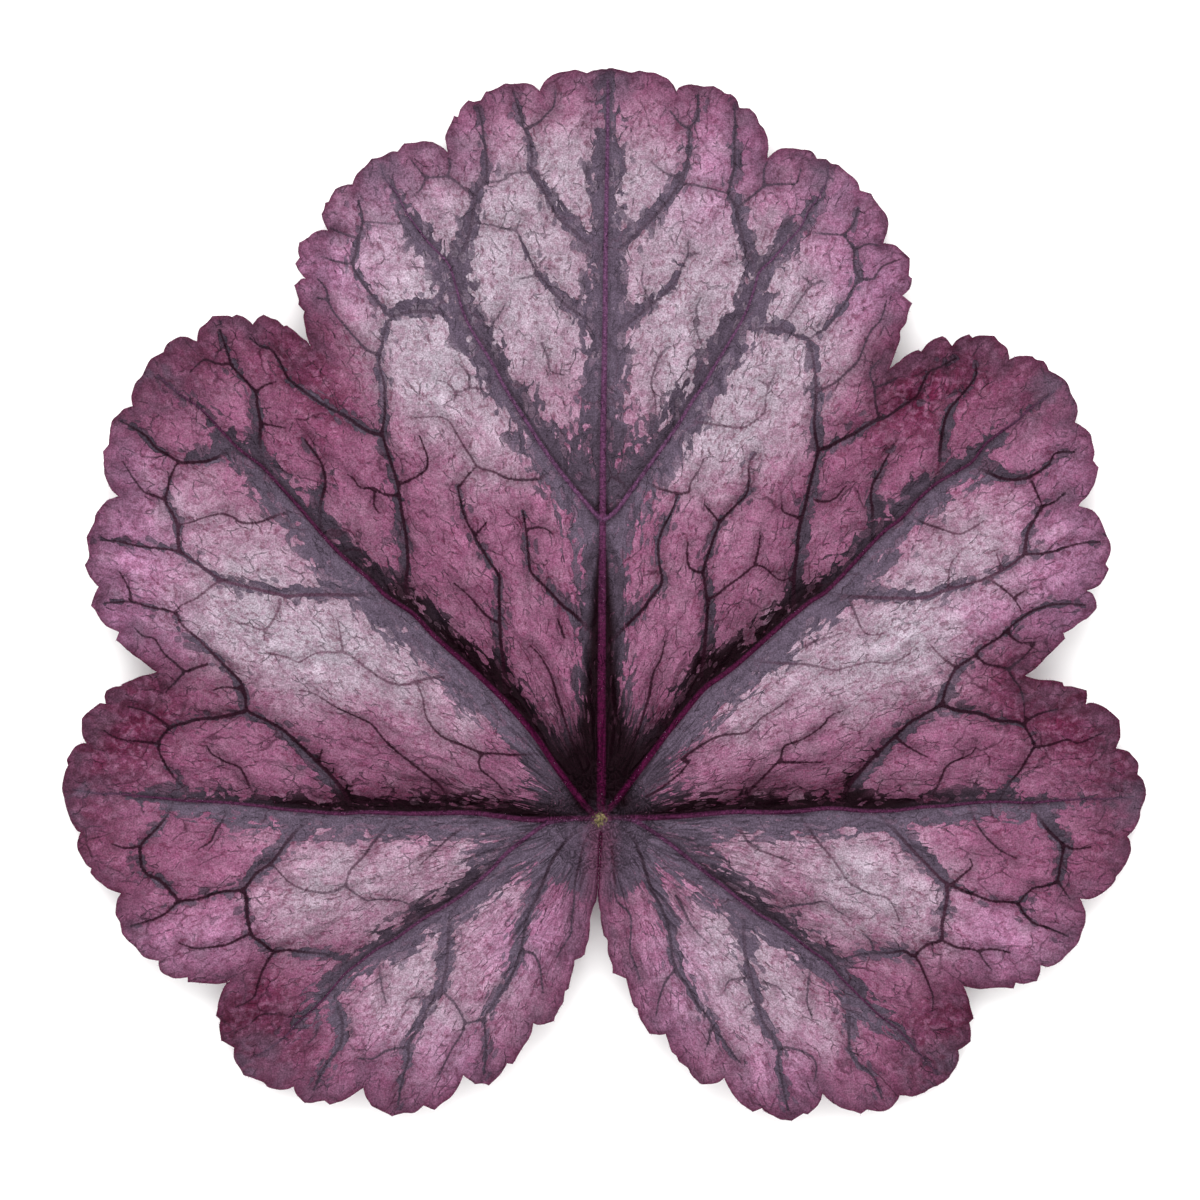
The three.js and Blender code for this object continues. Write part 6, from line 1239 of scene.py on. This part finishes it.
def vein_layers(skin, s):
    """Layers for the net veins, painted shade in the wedge at the junction and in the creases along the ribs,
    and the ribs.
    """
    times, over, pale, rib, shade = skin.times, skin.over, skin.pale, skin.rib, skin.shade
    # The fine lines are grey where the bands are open, and paler on lit banks as painted light.
    open_band = times(skin.open, 0.85)
    greyed = skin.node("Math", [open_band, times((shade, -0.5, -0.05, 0.5, 0.0))], operation="MAXIMUM")
    grey_line = over(s.band, ("MIX", s.band_shaded, 0.45))
    net_colour = over(s.line, ("MIX", s.dusk, pale, 0.4), ("MIX", grey_line, greyed))
    # The rib is painted lighter along its middle as a highlight and darker at its edges, over a random tone.
    rib_tone_and_painted_highlight = times((skin.fine, 0.3, 0.7, 0.75, 1.25), (rib, -0.3, 0.0, 1.22, 0.75))
    rib_colour = over(s.rib, ("MIX", s.rib_tip, (skin.tip, 0.1, 0.8)), ("MULTIPLY", rib_tone_and_painted_highlight))
    return (
        ("MIX", net_colour, (skin.uneven(skin.line, (skin.fine, 0.25)), -0.05, 0.12, 0.92, 0.0),
         (pale, 0.0, 1.0, 1.0, 0.75), (skin.main, 0.8, 2.8, 0.3, 1.0)),
        # Painted shade in the wedge above the junction.
        ("MIX", s.band_shaded, (skin.uneven(skin.pit, (skin.patchy, 0.6)), 0.05, 0.6, 0.0, 0.98)),
        # Painted shade in the creases beside the ribs, darkest on the banks above a vein.
        ("MIX", s.band_shaded, (rib, 0.0, 0.45, 0.8, 0.0), (shade, -0.1, 0.4, 0.25, 1.0)),
        ("MIX", rib_colour, (rib, -0.1, 0.03, 1.0, 0.0)),
    )


def rim_layers(skin, s):
    """Layers that make the rim duller, hazed with grey, and wine-red on its very edge."""
    rim, uneven = skin.rim, skin.uneven
    edge = uneven(rim, (skin.broad, 6.0))
    return (
        ("MULTIPLY", s.edge, (edge, 0.0, 5.5, 0.8, 0.0)),
        ("MIX", s.band, (edge, 0.0, 4.0, 0.32, 0.0), (skin.patchy, 0.42, 0.58, 0.3, 1.0)),
        ("MIX", s.band, (rim, 0.0, 9.0, 0.6, 0.0), (skin.main, 0.5, 4.5, 1.0, 0.0),
         (skin.patchy, 0.4, 0.6, 0.3, 1.0), (skin.junction, 16.0, 26.0)),
        ("MULTIPLY", s.edge, (uneven(rim, (skin.middle, 2.5)), 0.0, 1.3, 0.8, 0.0)),
        ("MIX", s.wine, (rim, 0.0, 0.35, 0.35, 0.0)),
    )


def junction_layers(skin, s):
    """Layers round the junction: a dusky stain beside the slit, the slit, and the pale spot."""
    rim, uneven = skin.rim, skin.uneven
    near = skin.times((skin.junction, 7.5, 10.0, 1.0, 0.0))
    return (
        ("MIX", s.dusk, (uneven(rim, (skin.patchy, 1.5)), 0.3, 2.4, 0.45, 0.0), near),
        ("MIX", s.rib, (rim, 0.05, 0.3, 0.9, 0.0), near),
        ("MIX", s.scar, (uneven(skin.junction, (skin.fine, 2.6)), 0.2, 0.8, 0.85, 0.0)),
    )


def upper_face_material(s):
    """Living leaf skin: waxy enough for a soft broad gloss, silvered by air under the skin.

    The silver is broken into ragged flakes towards the dark bands beside the veins, and fine seams
    part it into the cells of the net.
    """
    material, skin = new_material("heuchera leaf upper skin")
    node, times = skin.node, skin.times
    lay_ground(skin)
    lay_flakes(skin)
    lay_seams(skin)
    cells = cell_colours(skin, s)
    bare = band_colours(skin, s, cells)
    seam = skin.over(s.line, ("MIX", s.dusk, skin.pale, 0.6))
    colour = skin.over(
        bare,
        ("MIX", cells, skin.lit),
        ("MIX", bare, skin.short, 0.55),
        ("MIX", seam, skin.wide_line, (skin.paleness, 0.06, 0.3, 0.68, 0.22)),
        *vein_layers(skin, s),
        *rim_layers(skin, s),
        *junction_layers(skin, s),
        # A dust of pale specks and dark pores over everything.
        ("MULTIPLY", times((skin.dust, 0.3, 0.7, 0.56, 0.95), (skin.fine, 0.3, 0.7, 0.88, 1.12))),
    )
    height = skin.dome
    for part, share in ((skin.fine, 0.35), (skin.lit, 0.15), (skin.short, -0.3)):
        height = node("Math", [part, share, height], operation="MULTIPLY_ADD")
    shader = node("BsdfPrincipled", {
        "Base Color": colour,
        "Roughness": times((skin.middle, 0.3, 0.7, 0.52, 0.66)),
        "IOR": 1.42,
        "Specular IOR Level": 0.05,
        "Normal": node("Bump", {"Height": height, "Distance": 0.5 * MM, "Strength": 1.0}),
    })
    node("OutputMaterial", {"Surface": shader})
    return material


def lower_face_material(s):
    """The leaf's lower skin: matt, redder and without silver, with paler ribs."""
    material, skin = new_material("heuchera leaf lower skin")
    node, times = skin.node, skin.times
    main, line = [node("Attribute", [], output="Fac", attribute_name=mark) for mark in ("main", "line")]
    # Here too the pores are too fine to show, and are drawn at 0.25 mm.
    spot = node("TexCoord", [], output="Object")
    patch, dust = [node("TexNoise", {"Vector": spot, "Scale": 1 / (size * MM)}) for size in (1.4, 0.25)]
    ribs = [times((main, 0.3, 1.0, 1.0, 0.0)), times((line, 0.0, 0.4, 0.7, 0.0))]
    colour = skin.over(
        s.under,
        ("MIX", s.under_rib, node("Math", ribs, operation="MAXIMUM")),
        ("MULTIPLY", times((patch, 0.3, 0.7, 0.85, 1.12), (dust, 0.3, 0.7, 0.88, 1.1))),
    )
    shader = node("BsdfPrincipled", {
        "Base Color": colour,
        "Roughness": 0.62,
        "IOR": 1.42,
        "Specular IOR Level": 0.3,
        "Normal": node("Bump", {"Height": patch, "Distance": 0.15 * MM, "Strength": 0.5}),
    })
    node("OutputMaterial", {"Surface": shader})
    return material


def patchy_material(name, colour, patch_size, least, settings):
    """An even material whose colour pales and deepens a little in soft patches."""
    material, skin = new_material(name)
    spot = skin.node("TexCoord", [], output="Object")
    patch = skin.node("TexNoise", {"Vector": spot, "Scale": 1 / (patch_size * MM)})
    shown = skin.over(colour, ("MULTIPLY", skin.times((patch, 0.3, 0.7, least, 1.0))))
    shader = skin.node("BsdfPrincipled", {"Base Color": shown, **settings})
    skin.node("OutputMaterial", {"Surface": shader})
    return material


def hair_material(colour):
    """Short plant hairs: pale, thin-walled and slightly shiny."""
    return patchy_material("heuchera leaf hair", colour, 2.0, 0.8, {"Roughness": 0.45, "IOR": 1.45})


def floor_material(colour):
    """Matt white board: even, without gloss."""
    settings = {"Roughness": 0.9, "Specular IOR Level": 0.1}
    return patchy_material("matt white board", colour, 40.0, 0.985, settings)


# ---------------------------------------------------------------- hairs and stage


def rib_hair(rng, form):
    """Foot, lean and share of length of a hair on or beside a main rib."""
    vein = rng.choice(form.mains)
    i = rng.randrange(2, len(vein.points) - 4)
    aside = [rng.uniform(-HAIR_SCATTER, HAIR_SCATTER) for _ in range(2)]
    place = vein.points[i] + Vector(aside)
    lean = Vector((rng.uniform(-1, 1), rng.uniform(-1, 1), 1.1))
    return place, lean, rng.uniform(0.5, 1.0)


def rim_hair(rng, form):
    """Foot, lean and share of length of a hair that stands out from the rim."""
    i = rng.randrange(len(form.rim))
    run, out = outward(form.rim, i)
    lean = Vector((*out, rng.uniform(-0.1, 0.5)))
    lean += run.to_3d() * rng.uniform(-0.6, 0.6)
    return form.rim[i] - out * HAIR_ROOT, lean, rng.uniform(0.4, 0.9)


class HEUCHERA_OT_hairs(bpy.types.Operator):
    """Set short hairs on the main ribs and along the rim"""

    bl_idname = "heuchera.hairs"
    bl_label = "Hairs"

    def execute(self, context):
        s = context.scene.leaf_hairs
        form = LeafForm(context.scene.leaf_blade)
        rng = random.Random(11)
        shape = bmesh.new()
        for _ in range(s.count):
            kind = rib_hair if rng.random() < 0.5 else rim_hair
            place, lean, share = kind(rng, form)
            length = s.length * share
            top = form.heights(place, form.look_round(place))[0]
            foot = to_metres(place, top - HAIR_ROOT)
            turn = lean.to_track_quat("Z", "Y").to_matrix().to_4x4()
            seat = Matrix.Translation(foot) @ turn @ Matrix.Translation((0, 0, length / 2))
            bmesh.ops.create_cone(
                shape, cap_ends=True, segments=3, radius1=s.radius, radius2=s.radius * HAIR_TIP,
                depth=length, matrix=seat,
            )
        bmesh.ops.recalc_face_normals(shape, faces=shape.faces)
        hairs = finished_object("heuchera_leaf_hairs", shape, [hair_material(s.colour)])
        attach(hairs, "root")
        return {"FINISHED"}


def add_light(name, size, power, place):
    """A square light that shines at the middle of the leaf."""
    light = bpy.data.lights.new(name, "AREA")
    light.shape = "SQUARE"
    light.size = size
    light.energy = power
    obj = bpy.data.objects.new(name, light)
    obj.location = place
    obj.rotation_euler = (-Vector(place)).to_track_quat("-Z", "Y").to_euler()
    bpy.context.scene.collection.objects.link(obj)


def add_camera(height, width):
    """A camera over the leaf's middle that takes in a width at about its middle height."""
    camera = bpy.data.cameras.new("camera")
    camera.sensor_width = 36.0
    middle_height = 2.5 * MM
    camera.lens = camera.sensor_width * (height - middle_height) / width
    camera.clip_end = 10.0
    obj = bpy.data.objects.new("camera", camera)
    obj.location = to_metres(CAMERA_AIM, height / MM)
    bpy.context.scene.collection.objects.link(obj)
    bpy.context.scene.camera = obj


class HEUCHERA_OT_stage(bpy.types.Operator):
    """Set the floor, the lights and the camera"""

    bl_idname = "heuchera.stage"
    bl_label = "Stage"

    def execute(self, context):
        s = context.scene.leaf_stage
        shape = bmesh.new()
        bmesh.ops.create_grid(shape, x_segments=1, y_segments=1, size=3.0)
        finished_object("floor", shape, [floor_material(s.floor)])
        add_light("window_light", 0.9, s.key_power, (-0.1, 0.7, 0.95))
        world = bpy.data.worlds.new("studio")
        world.use_nodes = True
        sky = world.node_tree.nodes["Background"]
        sky.inputs["Color"].default_value = (1, 1, 1, 1)
        sky.inputs["Strength"].default_value = s.sky_strength
        context.scene.world = world
        context.scene.view_settings.view_transform = "Standard"
        add_camera(s.camera_height, s.view_width)
        return {"FINISHED"}


class HEUCHERA_PT_panel(bpy.types.Panel):
    """The leaf's pieces and their settings"""

    bl_idname = "HEUCHERA_PT_panel"
    bl_label = "Heuchera leaf"
    bl_space_type = "VIEW_3D"
    bl_region_type = "UI"
    bl_category = "Leaf"

    def draw(self, context):
        for group, operator in (
            (context.scene.leaf_blade, HEUCHERA_OT_blade),
            (context.scene.leaf_hairs, HEUCHERA_OT_hairs),
            (context.scene.leaf_stage, HEUCHERA_OT_stage),
        ):
            box = self.layout.box()
            for name in group.__annotations__:
                box.prop(group, name)
            box.operator(operator.bl_idname)


CLASSES = (
    LeafBladeSettings,
    LeafHairSettings,
    LeafStageSettings,
    HEUCHERA_OT_blade,
    HEUCHERA_OT_hairs,
    HEUCHERA_OT_stage,
    HEUCHERA_PT_panel,
)


def register():
    for cls in CLASSES:
        bpy.utils.register_class(cls)
    bpy.types.Scene.leaf_blade = PointerProperty(type=LeafBladeSettings)
    bpy.types.Scene.leaf_hairs = PointerProperty(type=LeafHairSettings)
    bpy.types.Scene.leaf_stage = PointerProperty(type=LeafStageSettings)


def unregister():
    del bpy.types.Scene.leaf_stage
    del bpy.types.Scene.leaf_hairs
    del bpy.types.Scene.leaf_blade
    for cls in reversed(CLASSES):
        bpy.utils.unregister_class(cls)


def main():
    register()
    bpy.ops.heuchera.stage()
    bpy.ops.heuchera.blade()
    bpy.ops.heuchera.hairs()
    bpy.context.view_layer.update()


if __name__ == "__main__":
    main()
